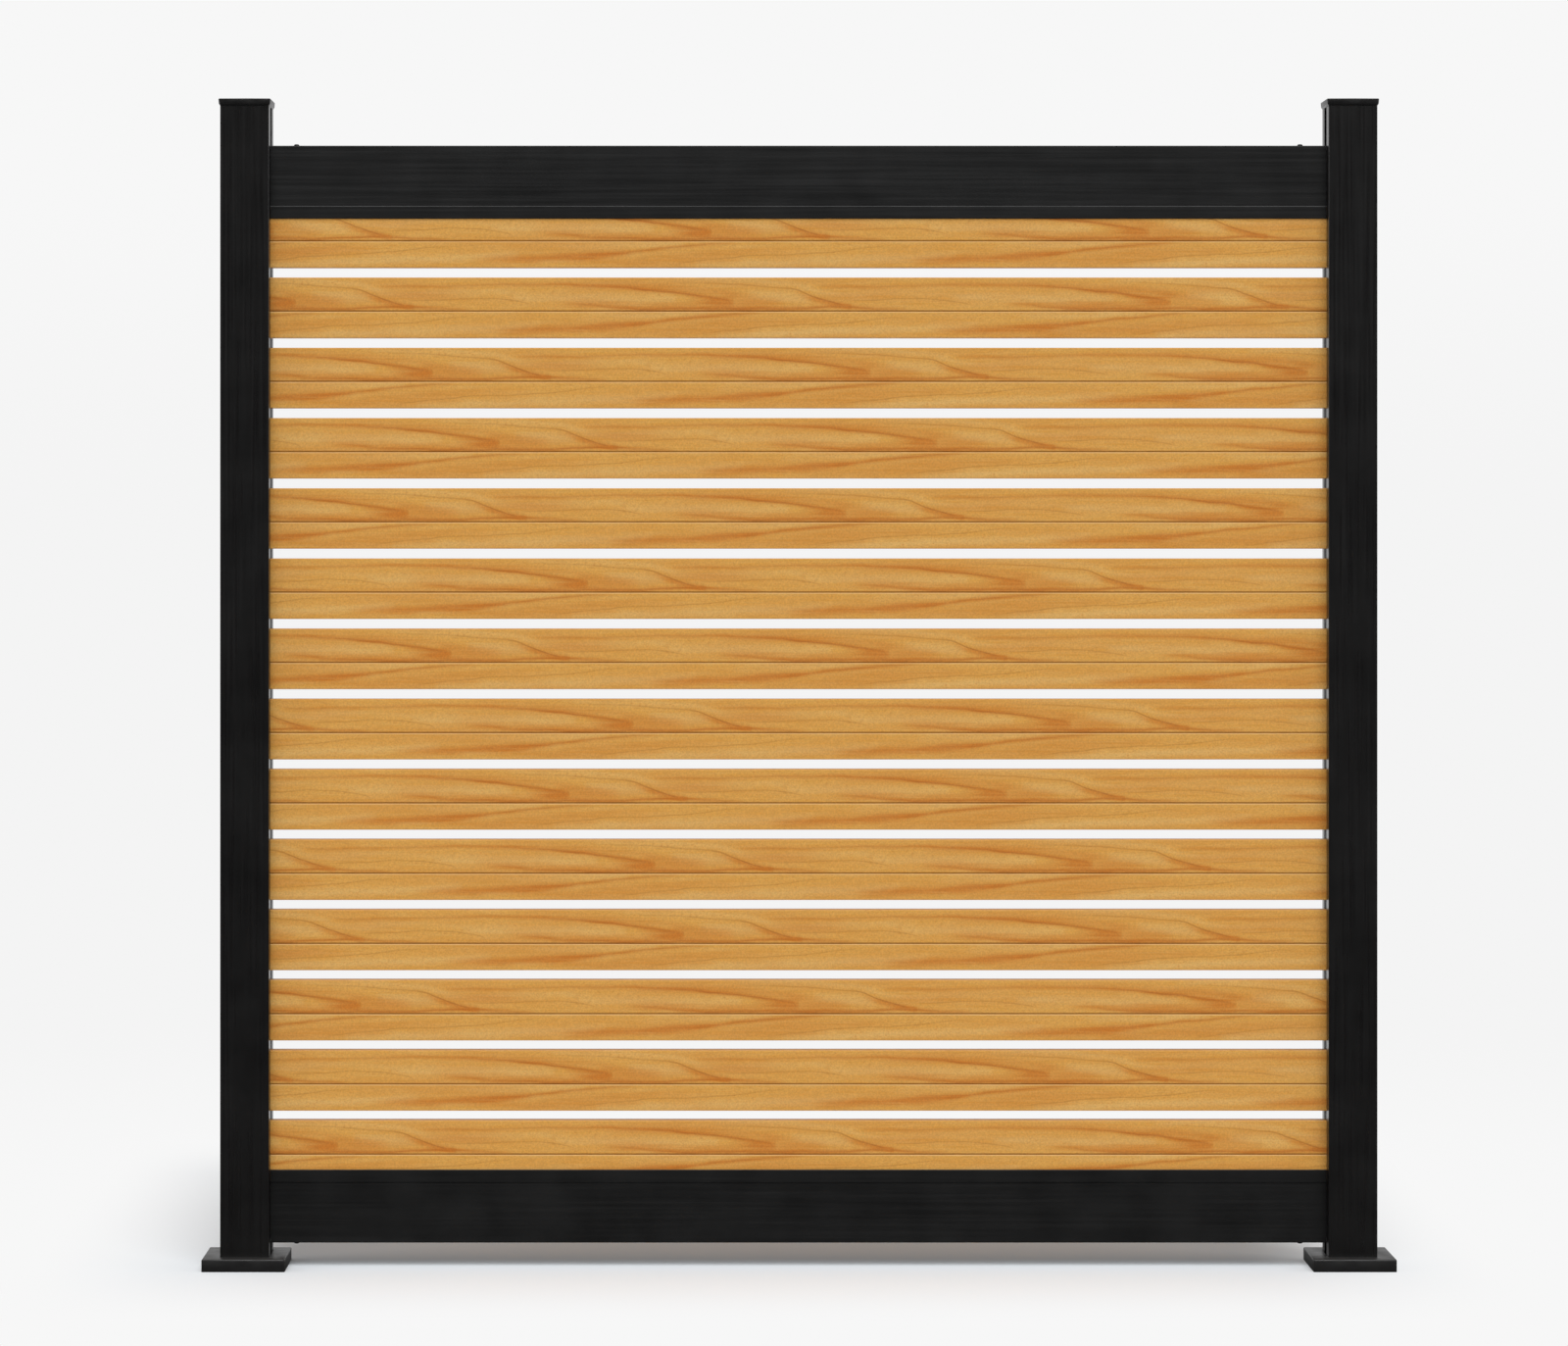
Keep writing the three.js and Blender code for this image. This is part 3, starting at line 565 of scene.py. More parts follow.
pale_amount = add_node(
    tree, "ShaderNodeMath", {0: pale_wood, 1: PALE_STRENGTH, 2: fibre_tone},
    operation="MULTIPLY_ADD", use_clamp=True,
)
ground = add_node(
    tree, "ShaderNodeMix",
    {"Factor_Float": pale_amount, "A_Color": linear(WARM_WOOD), "B_Color": linear(PALE_WOOD)},
    data_type="RGBA",
)
late_ragged = add_node(tree, "ShaderNodeMath", {0: late_wood, 1: ragged}, operation="MULTIPLY")
late_amount = add_node(
    tree, "ShaderNodeMath", {0: late_ragged, 1: patch_tone}, operation="ADD", use_clamp=True
)
with_pores = add_node(
    tree, "ShaderNodeMath", {0: late_amount, 1: pore_dots}, operation="MAXIMUM"
)
banded = add_node(
    tree, "ShaderNodeMix",
    {"Factor_Float": with_pores, "A_Color": ground, "B_Color": linear(LATE_WOOD)},
    data_type="RGBA",
)
line_amount = add_node(
    tree, "ShaderNodeMath", {0: dark_lines, 1: LINE_STRENGTH}, operation="MULTIPLY"
)
printed = add_node(
    tree, "ShaderNodeMix",
    {"Factor_Float": line_amount, "A_Color": banded, "B_Color": linear(DARK_LINE)},
    data_type="RGBA",
)
print("wood colours", WARM_WOOD, PALE_WOOD, LATE_WOOD, DARK_LINE)

# %% [markdown]
# Two more things go on over the print. The transfer leaves a faint speckle. And along the V
# groove two stripes are painted: a painted shade under the upper lip, and a painted highlight
# on the lower flank. The groove itself is in the solid; the stripes follow it on both faces.

# %% Speckle and groove
SPECKLE_MM = 2.63
SPECKLE_VALUE = (0.91, 1.09)  # how much darker or lighter a speck is
# painted shade under the groove's upper lip, and a painted highlight on its lower flank
GROOVE_SHADE_COLOUR = "#744413"
GROOVE_HIGHLIGHT_COLOUR = "#ECCB94"
PAINTED_GROOVE_SHADE = (42.4, 1.6, 0.8)  # height of its middle and half width in mm, and its strength
PAINTED_GROOVE_HIGHLIGHT = (40.3, 1.3, 0.6)


def groove_stripe(tree, centre, half_width, strength):
    """How much of a stripe along the groove covers this height."""
    apart = add_node(tree, "ShaderNodeMath", {0: in_mm, 1: centre}, operation="SUBTRACT")
    off = add_node(tree, "ShaderNodeMath", {0: apart}, operation="ABSOLUTE")
    return add_node(
        tree, "ShaderNodeMapRange",
        {"Value": off, "From Min": 0.0, "From Max": half_width, "To Min": strength, "To Max": 0.0},
        interpolation_type="SMOOTHSTEP",
    )


specks = add_node(
    tree, "ShaderNodeTexNoise", {"Vector": place, "Scale": cells_of(SPECKLE_MM), "Detail": 1}
)
speck_value = add_node(
    tree, "ShaderNodeMapRange",
    {**NOISE_RANGE, "Value": specks, "To Min": SPECKLE_VALUE[0], "To Max": SPECKLE_VALUE[1]},
)
speckled = add_node(tree, "ShaderNodeHueSaturation", {"Color": printed, "Value": speck_value})
# the groove's painted shade goes on first, then its painted highlight below it
groove_shaded = add_node(
    tree, "ShaderNodeMix",
    {"Factor_Float": groove_stripe(tree, *PAINTED_GROOVE_SHADE), "A_Color": speckled,
     "B_Color": linear(GROOVE_SHADE_COLOUR)},
    data_type="RGBA",
)
finished = add_node(
    tree, "ShaderNodeMix",
    {"Factor_Float": groove_stripe(tree, *PAINTED_GROOVE_HIGHLIGHT), "A_Color": groove_shaded,
     "B_Color": linear(GROOVE_HIGHLIGHT_COLOUR)},
    data_type="RGBA",
)
add_node(tree, "NodeGroupOutput", {"Colour": finished, "Grain": fibres})
print("the print has", len(tree.nodes), "nodes")

# %% [markdown]
# ## The slats' finish
#
# Each slat gets its own material, because its print starts at its own place. The shift moves
# the pattern along, and the slat's lower edge is the print's zero height. The satin coat over
# the print is a plain dielectric with a roughness near 0.45, a little smoother where the film
# is thin, and the embossed grain is a few hundredths of a millimetre deep.

# %% Wood print materials, one per slat
PRINT_SHIFTS_MM = [  # from the lowest slat to the highest
    66, 494, 102, 606, 561, 427, 527, 243, 456, 176, 318, 214, 0, 649,
]
FLAME_TIP = 0.063  # metres, a short flame's tip on the slat with no shift
FILM_ROUGHNESS = (0.40, 0.52)
FILM_IOR = 1.46
EMBOSS_DEPTH = 0.1 * MM  # a quarter of it shows, because the bump's strength is 0.25

for number, shift in enumerate(PRINT_SHIFTS_MM, start=1):
    name = f"slat_{number:02d}"
    low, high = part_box(name)
    material, tree = new_material(f"wood_print_on_aluminium_{number:02d}")
    place = add_node(tree, "ShaderNodeTexCoord").outputs["Object"]
    start = (-FLAME_TIP - shift * MM, 0, -low.z)
    moved = add_node(tree, "ShaderNodeMapping", {"Vector": place, "Location": start})
    grain = add_node(tree, "ShaderNodeGroup", {"Place": moved}, node_tree=print_group)
    gloss = add_node(
        tree, "ShaderNodeMapRange",
        {**NOISE_RANGE, "Value": grain.outputs["Grain"],
         "To Min": FILM_ROUGHNESS[0], "To Max": FILM_ROUGHNESS[1]},
    )
    emboss = add_node(
        tree, "ShaderNodeBump",
        {"Height": grain.outputs["Grain"], "Strength": 0.25, "Distance": EMBOSS_DEPTH},
    )
    film = add_node(
        tree, "ShaderNodeBsdfPrincipled",
        {"Base Color": grain.outputs["Colour"], "Roughness": gloss, "Normal": emboss,
         "IOR": FILM_IOR},
    )
    add_node(tree, "ShaderNodeOutputMaterial", {"Surface": film})
    nodes[name].material_slots[0].material = material
print(len(PRINT_SHIFTS_MM), "slats printed")

# %% [markdown]
# ## Pale edges
#
# The coat, the nylon, the zinc and the plating that follow are all a little paler on their
# outer corners. On the zinc and the plating that is rubbed wear; on the black coat and nylon
# it is partly wear and partly a painted highlight, the light line that a rounded edge catches.
# A painter would brush that on by hand; the Bevel node finds the corners by itself. It rounds
# the normal near an edge, and where the rounded normal leaves the true one, there is an edge.

# %% Pale edges
ON_EDGE = {"From Min": 0.97, "From Max": 0.75}  # cosines of 14 and 41 degrees between normals
# where a noise lets the pale edge show: wear, and on coat and nylon also a painted highlight
EDGE_PATCHES = {"From Min": 0.42, "From Max": 0.62}  # where a noise lets the rubbing show


def outer_edge_mask(tree, radius, break_up):
    """1 on sharp outer corners and 0 on flats, broken up by a noise."""
    soft = add_node(tree, "ShaderNodeBevel", {"Radius": radius}, samples=4)
    geometry = add_node(tree, "ShaderNodeNewGeometry")
    alike = add_node(
        tree, "ShaderNodeVectorMath",
        {0: soft, 1: geometry.outputs["True Normal"]}, operation="DOT_PRODUCT",
    )
    edge = add_node(tree, "ShaderNodeMapRange", {**ON_EDGE, "Value": alike.outputs["Value"]})
    patchy = add_node(tree, "ShaderNodeMapRange", {**EDGE_PATCHES, "Value": break_up})
    return add_node(tree, "ShaderNodeMath", {0: edge, 1: patchy}, operation="MULTIPLY")


print("edges show from", round(math.degrees(math.acos(ON_EDGE["From Min"]))), "degrees on")

# %% [markdown]
# ## Black powder coat
#
# The posts and rails are extruded aluminium with a baked black powder coat. The eye sees a
# deep black with a soft sheen, the fine orange-peel of the melted powder, and faint lines
# along the extrusion. Two noises make these: an even one for the peel, and one whose cells
# are long along the extrusion and narrow across it. A slow cloud shifts the black a little.

# %% Powder coat
COAT_IOR = 1.5
COAT_CLOUD_MM = 71.4
PEEL_MM = 1.613  # orange-peel is 0.8 mm across; this is the finest that the render can show
PEEL_RELIEF = 0.15 * MM
LINE_RELIEF = 0.6  # height of the extrusion lines, as a share of the orange-peel's
# the coat's pale edges are partly wear, partly a painted highlight
COAT_EDGE = 1.5 * MM  # how far from a corner the rubbing reaches
EDGE_PALING = 0.45  # how far a rubbed edge goes from black to the rubbed colour
CLOUD_RUB = 0.12  # the same, for the cloud
SHEEN_SPREAD = (-0.05, 0.06)  # the extrusion lines' roughness, less the coat's


def powder_coat(name, black, pale_tone, line_cells_mm, roughness):
    """Powder coat on an extrusion, whose faint lines have cells of the given size."""
    material, tree = new_material(name)
    place = add_node(tree, "ShaderNodeTexCoord").outputs["Object"]
    cloud = add_node(
        tree, "ShaderNodeTexNoise",
        {"Vector": place, "Scale": cells_of(COAT_CLOUD_MM), "Detail": 4},
    )
    line_place = add_node(
        tree, "ShaderNodeMapping", {"Vector": place, "Scale": cells_of(*line_cells_mm)}
    )
    lines = add_node(tree, "ShaderNodeTexNoise", {"Vector": line_place, "Scale": 1, "Detail": 2})
    peel = add_node(
        tree, "ShaderNodeTexNoise", {"Vector": place, "Scale": cells_of(PEEL_MM), "Detail": 2}
    )
    # pale edges: partly rubbed wear, partly a painted highlight along the edge
    edges = outer_edge_mask(tree, COAT_EDGE, cloud)
    pale_edge = add_node(tree, "ShaderNodeMath", {0: edges, 1: EDGE_PALING}, operation="MULTIPLY")
    tone = add_node(
        tree, "ShaderNodeMapRange", {**NOISE_RANGE, "Value": cloud, "To Max": CLOUD_RUB}
    )
    paler_share = add_node(tree, "ShaderNodeMath", {0: pale_edge, 1: tone}, operation="MAXIMUM")
    colour = add_node(
        tree, "ShaderNodeMix",
        {"Factor_Float": paler_share, "A_Color": linear(black), "B_Color": linear(pale_tone)},
        data_type="RGBA",
    )
    sheen = add_node(
        tree, "ShaderNodeMapRange",
        {**NOISE_RANGE, "Value": lines,
         "To Min": roughness + SHEEN_SPREAD[0], "To Max": roughness + SHEEN_SPREAD[1]},
    )
    relief = add_node(
        tree, "ShaderNodeMath", {0: lines, 1: LINE_RELIEF, 2: peel}, operation="MULTIPLY_ADD"
    )
    bump = add_node(
        tree, "ShaderNodeBump", {"Height": relief, "Strength": 0.2, "Distance": PEEL_RELIEF}
    )
    coat = add_node(
        tree, "ShaderNodeBsdfPrincipled",
        {"Base Color": colour, "Roughness": sheen, "Normal": bump, "IOR": COAT_IOR},
    )
    add_node(tree, "ShaderNodeOutputMaterial", {"Surface": coat})
    return material


post_coat = powder_coat(
    "black_powder_coat_on_post", black="#0C0B0B", pale_tone="#373635",
    line_cells_mm=(3.846, 3.846, 250), roughness=0.30,
)
rail_coat = powder_coat(
    "black_powder_coat_on_rail", black="#0F0F0F", pale_tone="#3A3A3A",
    line_cells_mm=(250, 3.846, 3.846), roughness=0.36,
)
for side in ("left", "right"):
    nodes[f"{side}_post"].material_slots[0].material = post_coat
for level in ("top", "bottom"):
    nodes[f"{level}_rail"].material_slots[0].material = rail_coat
print("posts and rails coated")

# %% [markdown]
# ## Moulded black nylon
#
# The post caps and base covers are glass-filled nylon mouldings, about as glossy as the powder
# coat, with pale edges that are partly rubbed and partly a painted highlight. Their faces that
# look up are painted paler: partly dust, partly a painted sheen where the tops mirror the bright
# studio. A hand has wiped the dust into streaks, so a noise with narrow cells breaks it up. The
# spacers in the channels are plain matt nylon, made by the same recipe with more roughness.

# %% Moulded covers, caps and spacers
NYLON_IOR = 1.53
NYLON_CLOUD_MM = 16.67
STREAK_CELLS_MM = (25, 2.38, 16.67)
MOULD_TEXTURE_MM = 1.111  # spark-eroded texture, really 0.1 mm, drawn as fine as it can show
MOULD_RELIEF = 0.1 * MM
# the nylon's pale edges are partly wear, partly a painted highlight
NYLON_EDGE = 1.0 * MM  # how far from a corner the rubbing reaches
GLOSS_SPREAD = (-0.08, 0.12)  # the streaks' roughness, less the nylon's
FACING_UP = {"From Min": 0.5, "From Max": 0.95}  # the true normal's Z, from a slope to a flat
DUST_AND_SHEEN_AMOUNT = 0.2


def moulded_nylon(name, black, dust_and_sheen_colour, roughness):
    """Injection-moulded black nylon with wiped streaks, and dust and a painted sheen on upward
    faces.
    """
    material, tree = new_material(name)
    place = add_node(tree, "ShaderNodeTexCoord").outputs["Object"]
    cloud = add_node(
        tree, "ShaderNodeTexNoise",
        {"Vector": place, "Scale": cells_of(NYLON_CLOUD_MM), "Detail": 5},
    )
    streak_place = add_node(
        tree, "ShaderNodeMapping", {"Vector": place, "Scale": cells_of(*STREAK_CELLS_MM)}
    )
    streaks = add_node(
        tree, "ShaderNodeTexNoise", {"Vector": streak_place, "Scale": 1, "Detail": 3}
    )
    texture = add_node(
        tree, "ShaderNodeTexNoise",
        {"Vector": place, "Scale": cells_of(MOULD_TEXTURE_MM), "Detail": 2},
    )
    facing = add_node(tree, "ShaderNodeNewGeometry")
    upward = add_node(tree, "ShaderNodeSeparateXYZ", {0: facing.outputs["True Normal"]})
    top = add_node(
        tree, "ShaderNodeMapRange",
        {**FACING_UP, "Value": upward.outputs["Z"], "To Max": DUST_AND_SHEEN_AMOUNT},
    )
    wiped = add_node(
        tree, "ShaderNodeMapRange", {"Value": streaks, "From Min": 0.35, "From Max": 0.65}
    )
    # upward faces painted paler: dust, and a painted sheen where the tops mirror the room
    dust_and_sheen = add_node(tree, "ShaderNodeMath", {0: top, 1: wiped}, operation="MULTIPLY")
    edges = outer_edge_mask(tree, NYLON_EDGE, cloud)
    paler_share = add_node(tree, "ShaderNodeMath", {0: edges, 1: dust_and_sheen}, operation="MAXIMUM")
    colour = add_node(
        tree, "ShaderNodeMix",
        {"Factor_Float": paler_share, "A_Color": linear(black), "B_Color": linear(dust_and_sheen_colour)},
        data_type="RGBA",
    )
    gloss = add_node(
        tree, "ShaderNodeMapRange",
        {**NOISE_RANGE, "Value": streaks,
         "To Min": roughness + GLOSS_SPREAD[0], "To Max": roughness + GLOSS_SPREAD[1]},
    )
    bump = add_node(
        tree, "ShaderNodeBump", {"Height": texture, "Strength": 0.15, "Distance": MOULD_RELIEF}
    )
    nylon = add_node(
        tree, "ShaderNodeBsdfPrincipled",
        {"Base Color": colour, "Roughness": gloss, "Normal": bump, "IOR": NYLON_IOR},
    )
    add_node(tree, "ShaderNodeOutputMaterial", {"Surface": nylon})
    return material


# the third colour is the dust and painted sheen on upward faces, and on the pale edges
cap_nylon = moulded_nylon("moulded_black_nylon_cap", "#141313", "#454340", roughness=0.36)
cover_nylon = moulded_nylon("moulded_black_nylon_cover", "#181717", "#4E4B48", roughness=0.40)
spacer_nylon = moulded_nylon("matt_black_nylon_spacer", "#121212", "#303030", roughness=0.55)
spacers = [node for name, node in nodes.items() if "_spacer_" in name]
for spacer in spacers:
    spacer.material_slots[0].material = spacer_nylon
print(len(spacers), "spacers finished")

# %% [markdown]
# ## Galvanised steel
#
# The base plates, and the brackets hidden in the rails, are hot-dip galvanised steel. Its
# spangle is a pattern of zinc crystals 5 to 10 mm across, each with its own brightness, which
# is what a Voronoi texture draws. A dull white skin lies on the zinc and scatters half the
# light, so it is only half metallic and looks grey even where it mirrors the dark.

# %% Galvanised plates and brackets
ZINC_GREY = "#8E9194"
ZINC_PALE = "#B9BCBE"
ZINC_RUBBED = "#D2D4D5"
SPANGLE_MM = 7.14
HAZE_MM = 11.1
ZINC_EDGE = 1.0 * MM
ZINC_ROUGHNESS = (0.45, 0.7)
ZINC_RELIEF = 0.2 * MM

galvanised, tree = new_material("hot_dip_galvanised_steel")
place = add_node(tree, "ShaderNodeTexCoord").outputs["Object"]
spangle = add_node(
    tree, "ShaderNodeTexVoronoi", {"Vector": place, "Scale": cells_of(SPANGLE_MM)}
)
shade = add_node(tree, "ShaderNodeRGBToBW", {0: spangle.outputs["Color"]})
haze = add_node(
    tree, "ShaderNodeTexNoise", {"Vector": place, "Scale": cells_of(HAZE_MM), "Detail": 5}
)
mixed = add_node(tree, "ShaderNodeMath", {0: shade, 1: haze}, operation="MULTIPLY")
zinc = add_node(
    tree, "ShaderNodeMix",
    {"Factor_Float": mixed, "A_Color": linear(ZINC_GREY), "B_Color": linear(ZINC_PALE)},
    data_type="RGBA",
)
edges = outer_edge_mask(tree, ZINC_EDGE, haze)
bare = add_node(
    tree, "ShaderNodeMix",
    {"Factor_Float": edges, "A_Color": zinc, "B_Color": linear(ZINC_RUBBED)},
    data_type="RGBA",
)
dull = add_node(
    tree, "ShaderNodeMapRange",
    {"Value": mixed, "To Min": ZINC_ROUGHNESS[0], "To Max": ZINC_ROUGHNESS[1]},
)
relief = add_node(
    tree, "ShaderNodeBump", {"Height": haze, "Strength": 0.2, "Distance": ZINC_RELIEF}
)
metal = add_node(
    tree, "ShaderNodeBsdfPrincipled",
    {"Base Color": bare, "Roughness": dull, "Normal": relief, "Metallic": 0.5},
)
add_node(tree, "ShaderNodeOutputMaterial", {"Surface": metal})
steel_parts = [name for name in nodes if name.endswith(("_base_plate", "_bracket"))]
for name in steel_parts:
    nodes[name].material_slots[0].material = galvanised
print(len(steel_parts), "plates and brackets galvanised")

# %% [markdown]
# ## Black screws
#
# The screws are steel with a black zinc plating: a dark metal with a fine grain, whose edges
# the screwdriver has rubbed back to grey. The grain is 0.7 mm here, which is coarser than the
# real one, so that something of it is left to see.

# %% Black zinc plating
PLATING_BLACK = "#1A1A1B"
PLATING_RUBBED = "#6E6E70"
PLATING_GRAIN_MM = 0.6667
PLATING_EDGE = 0.4 * MM
PLATING_ROUGHNESS = (0.25, 0.5)
PLATING_RELIEF = 0.05 * MM

black_zinc, tree = new_material("black_zinc_plated_steel")
place = add_node(tree, "ShaderNodeTexCoord").outputs["Object"]
grain = add_node(
    tree, "ShaderNodeTexNoise",
    {"Vector": place, "Scale": cells_of(PLATING_GRAIN_MM), "Detail": 3},
)
edges = outer_edge_mask(tree, PLATING_EDGE, grain)
colour = add_node(
    tree, "ShaderNodeMix",
    {"Factor_Float": edges, "A_Color": linear(PLATING_BLACK), "B_Color": linear(PLATING_RUBBED)},
    data_type="RGBA",
)
gloss = add_node(
    tree, "ShaderNodeMapRange",
    {"Value": grain, "To Min": PLATING_ROUGHNESS[0], "To Max": PLATING_ROUGHNESS[1]},
)
relief = add_node(
    tree, "ShaderNodeBump", {"Height": grain, "Strength": 0.2, "Distance": PLATING_RELIEF}
)
metal = add_node(
    tree, "ShaderNodeBsdfPrincipled",
    {"Base Color": colour, "Roughness": gloss, "Normal": relief, "Metallic": 0.8},
)
add_node(tree, "ShaderNodeOutputMaterial", {"Surface": metal})
print("screw plating made")

# %% [markdown]
# ## Modelling helpers
#
# An operator acts on everything that is selected, so each piece starts from a clear selection.
# Faces and edges are then picked by where they are, which is what a person does with the mouse.

# %% Start, pick and finish
NEAR = 0.1 * MM  # places that are closer than this count as one
LEVEL_ENOUGH = 0.9  # a face looks up or down if its normal's Z is beyond this
ROUNDED_FROM = math.radians(30)  # edges sharper than this are rounded
SMOOTH_UP_TO = math.radians(35)  # edges flatter than this are shaded smooth


def start_piece(name):
    """Names the new primitive and puts its place into its mesh, ready for edit mode."""
    piece = bpy.context.object
    piece.name = name
    piece.data.name = name
    bpy.ops.object.transform_apply(location=True, rotation=True, scale=True)
    bpy.ops.object.mode_set(mode="EDIT")
    bpy.ops.mesh.select_all(action="DESELECT")
    return piece


def looks_down(centre, normal):
    """True for a face that looks down, whatever its place."""
    return normal.z < -LEVEL_ENOUGH


def looks_up(centre, normal):
    """True for a face that looks up, whatever its place."""
    return normal.z > LEVEL_ENOUGH


def pick_faces(piece, wanted):
    """Selects only the faces for which wanted(centre, normal) is true."""
    bpy.ops.mesh.select_mode(type="FACE")
    bpy.ops.mesh.select_all(action="DESELECT")
    mesh = bmesh.from_edit_mesh(piece.data)
    for face in mesh.faces:
        face.select_set(wanted(face.calc_center_median(), face.normal))
    mesh.select_flush_mode()
    bmesh.update_edit_mesh(piece.data)


def pick_edges(piece, wanted):
    """Selects only the edges for which wanted(first end, second end) is true."""
    bpy.ops.mesh.select_mode(type="EDGE")
    bpy.ops.mesh.select_all(action="DESELECT")
    mesh = bmesh.from_edit_mesh(piece.data)
    for edge in mesh.edges:
        edge.select_set(wanted(edge.verts[0].co, edge.verts[1].co))
    mesh.select_flush_mode()
    bmesh.update_edit_mesh(piece.data)


def finish_piece(piece, edge_width, material, segments=2):
    """Rounds the remaining hard edges, shades the piece smooth and gives it its finish."""
    bpy.ops.object.mode_set(mode="OBJECT")
    rounding = piece.modifiers.new("edge_rounding", "BEVEL")
    rounding.width = edge_width
    rounding.segments = segments
    rounding.limit_method = "ANGLE"
    rounding.angle_limit = ROUNDED_FROM
    bpy.ops.object.modifier_apply(modifier=rounding.name)
    bpy.ops.object.shade_smooth_by_angle(angle=SMOOTH_UP_TO)
    piece.data.materials.clear()
    piece.data.materials.append(material)
    print(piece.name, "has", len(piece.data.polygons), "faces")


def copy_of(piece, name, change):
    """Another piece with its own mesh, moved or turned by a matrix."""
    twin = piece.copy()
    twin.data = piece.data.copy()
    twin.name = name
    twin.data.name = name
    twin.data.transform(change)
    bpy.context.scene.collection.objects.link(twin)
    return twin


HALF_TURN = Matrix.Rotation(math.pi, 4, "Z")
print("edges over", round(math.degrees(ROUNDED_FROM)), "degrees will be rounded")

# %% [markdown]
# ## Post caps
#
# A cap is a small moulding: a lip that flares out from the post, an upright rim, and a very
# shallow pyramid that sheds rain. A square grown upwards by extruding and scaling gives
# exactly these steps.

# %% Left cap, body
CAP_STEPS = [  # rise of the step and half width at its top, in mm, from the post's top
    (3.0, 39.9),  # flared lip
    (7.3, 40.5),  # rim
    (0.7, 39.8),  # its upper edge
    (3.4, 3.0),  # pyramid
]
CAP_TAB_DEPTH = 16 * MM
cap_low, cap_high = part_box("left_post_cap")
cap_foot = cap_low.z + CAP_TAB_DEPTH

bpy.ops.object.select_all(action="DESELECT")
bpy.ops.mesh.primitive_plane_add(size=2 * POST_HALF, location=(-POST_CENTRE, 0, cap_foot))
cap = start_piece("left_cap")
bpy.ops.mesh.select_all(action="SELECT")
level, half = cap_foot, POST_HALF
for rise, next_half in CAP_STEPS:
    bpy.ops.mesh.extrude_region_move(TRANSFORM_OT_translate={"value": (0, 0, rise * MM)})
    level += rise * MM
    ratio = next_half * MM / half
    bpy.ops.transform.resize(
        value=(ratio, ratio, 1), center_override=(-POST_CENTRE, 0, level)
    )
    half = next_half * MM
print(f"cap grown to {level:.4f} m, where the CAD one ends at {cap_high.z:.4f} m")

# %% [markdown]
# Three tabs go down inside the post. The fourth side is open, because the slat channel is
# there. The underside is inset to a ring with a pocket inside, cut where the tabs begin and
# end, and the tabs grow out of the ring.

# %% Left cap, pocket and tabs
CAP_POCKET_HALF = 33.5 * MM
CAP_POCKET_DEPTH = 7 * MM
CAP_TAB_OUTER = 35.5 * MM
CAP_TAB_HALF_WIDTH = 17 * MM
CAP_CORNER = 2 * MM  # radius of the upright corners of the lip and rim
CAP_EDGE = 0.25 * MM

pick_faces(cap, looks_down)
bpy.ops.mesh.inset(thickness=POST_HALF - CAP_TAB_OUTER)
bpy.ops.mesh.inset(thickness=CAP_TAB_OUTER - CAP_POCKET_HALF)
bpy.ops.mesh.extrude_region_move(TRANSFORM_OT_translate={"value": (0, 0, CAP_POCKET_DEPTH)})


def is_underside(centre, normal):
    """True for the faces on which the cap rests, and not for the pocket's ceiling."""
    return looks_down(centre, normal) and centre.z < cap_foot + NEAR


def is_tab_root(centre, normal):
    """True on the ring's faces where a tab grows, which is on three sides of the cap."""
    x, y = abs(centre.x + POST_CENTRE), abs(centre.y)
    in_ring = CAP_POCKET_HALF < max(x, y) < CAP_TAB_OUTER
    in_width = min(x, y) < CAP_TAB_HALF_WIDTH
    on_channel = centre.x + POST_CENTRE > CAP_POCKET_HALF
    return is_underside(centre, normal) and in_ring and in_width and not on_channel


def is_upright_corner(a, b):
    """True for the edges that run up the four corners of the lip and the rim."""
    above_tabs = min(a.z, b.z) > cap_foot - NEAR
    runs_up = abs(a.z - b.z) > NEAR
    outside = min(abs(a.y), abs(b.y)) > CAP_TAB_OUTER + NEAR
    return above_tabs and runs_up and outside


for offset in (-CAP_TAB_HALF_WIDTH, CAP_TAB_HALF_WIDTH):
    for cut_point, cut_normal in (
        ((-POST_CENTRE + offset, 0, 0), (1, 0, 0)),
        ((0, offset, 0), (0, 1, 0)),
    ):
        pick_faces(cap, is_underside)
        bpy.ops.mesh.bisect(plane_co=cut_point, plane_no=cut_normal)
pick_faces(cap, is_tab_root)
bpy.ops.mesh.extrude_region_move(TRANSFORM_OT_translate={"value": (0, 0, -CAP_TAB_DEPTH)})
pick_edges(cap, is_upright_corner)
bpy.ops.mesh.bevel(offset=CAP_CORNER, segments=4, affect="EDGES")
finish_piece(cap, CAP_EDGE, cap_nylon)

# %% [markdown]
# The right cap is the left one turned round, so that its open side faces the slats too.

# %% Both caps
right_cap = copy_of(cap, "right_cap", HALF_TURN)
for side, piece in (("left", cap), ("right", right_cap)):
    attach(piece, "screen")
    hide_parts(f"{side}_post_cap")
print("caps on both posts")

# %% [markdown]
# ## Base covers
#
# The cover is a shallow square tray, upside down, with a square hole that the post passes
# through. It hides the plate and its bolts, and slides up the post to reach them. It is made
# from a box: the underside is inset and pushed up to leave 3 mm walls, then the top and the
# ceiling are inset to the hole's size and the two squares are bridged.

# %% Left base cover, tray
COVER_WALL = 3 * MM
COVER_PLAY = 0.5 * MM  # between the post and the hole
COVER_OPENING = POST_HALF + COVER_PLAY
cover_low, cover_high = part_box("left_base_cover")
COVER_HALF = cover_high.y
cover_height = cover_high.z - cover_low.z

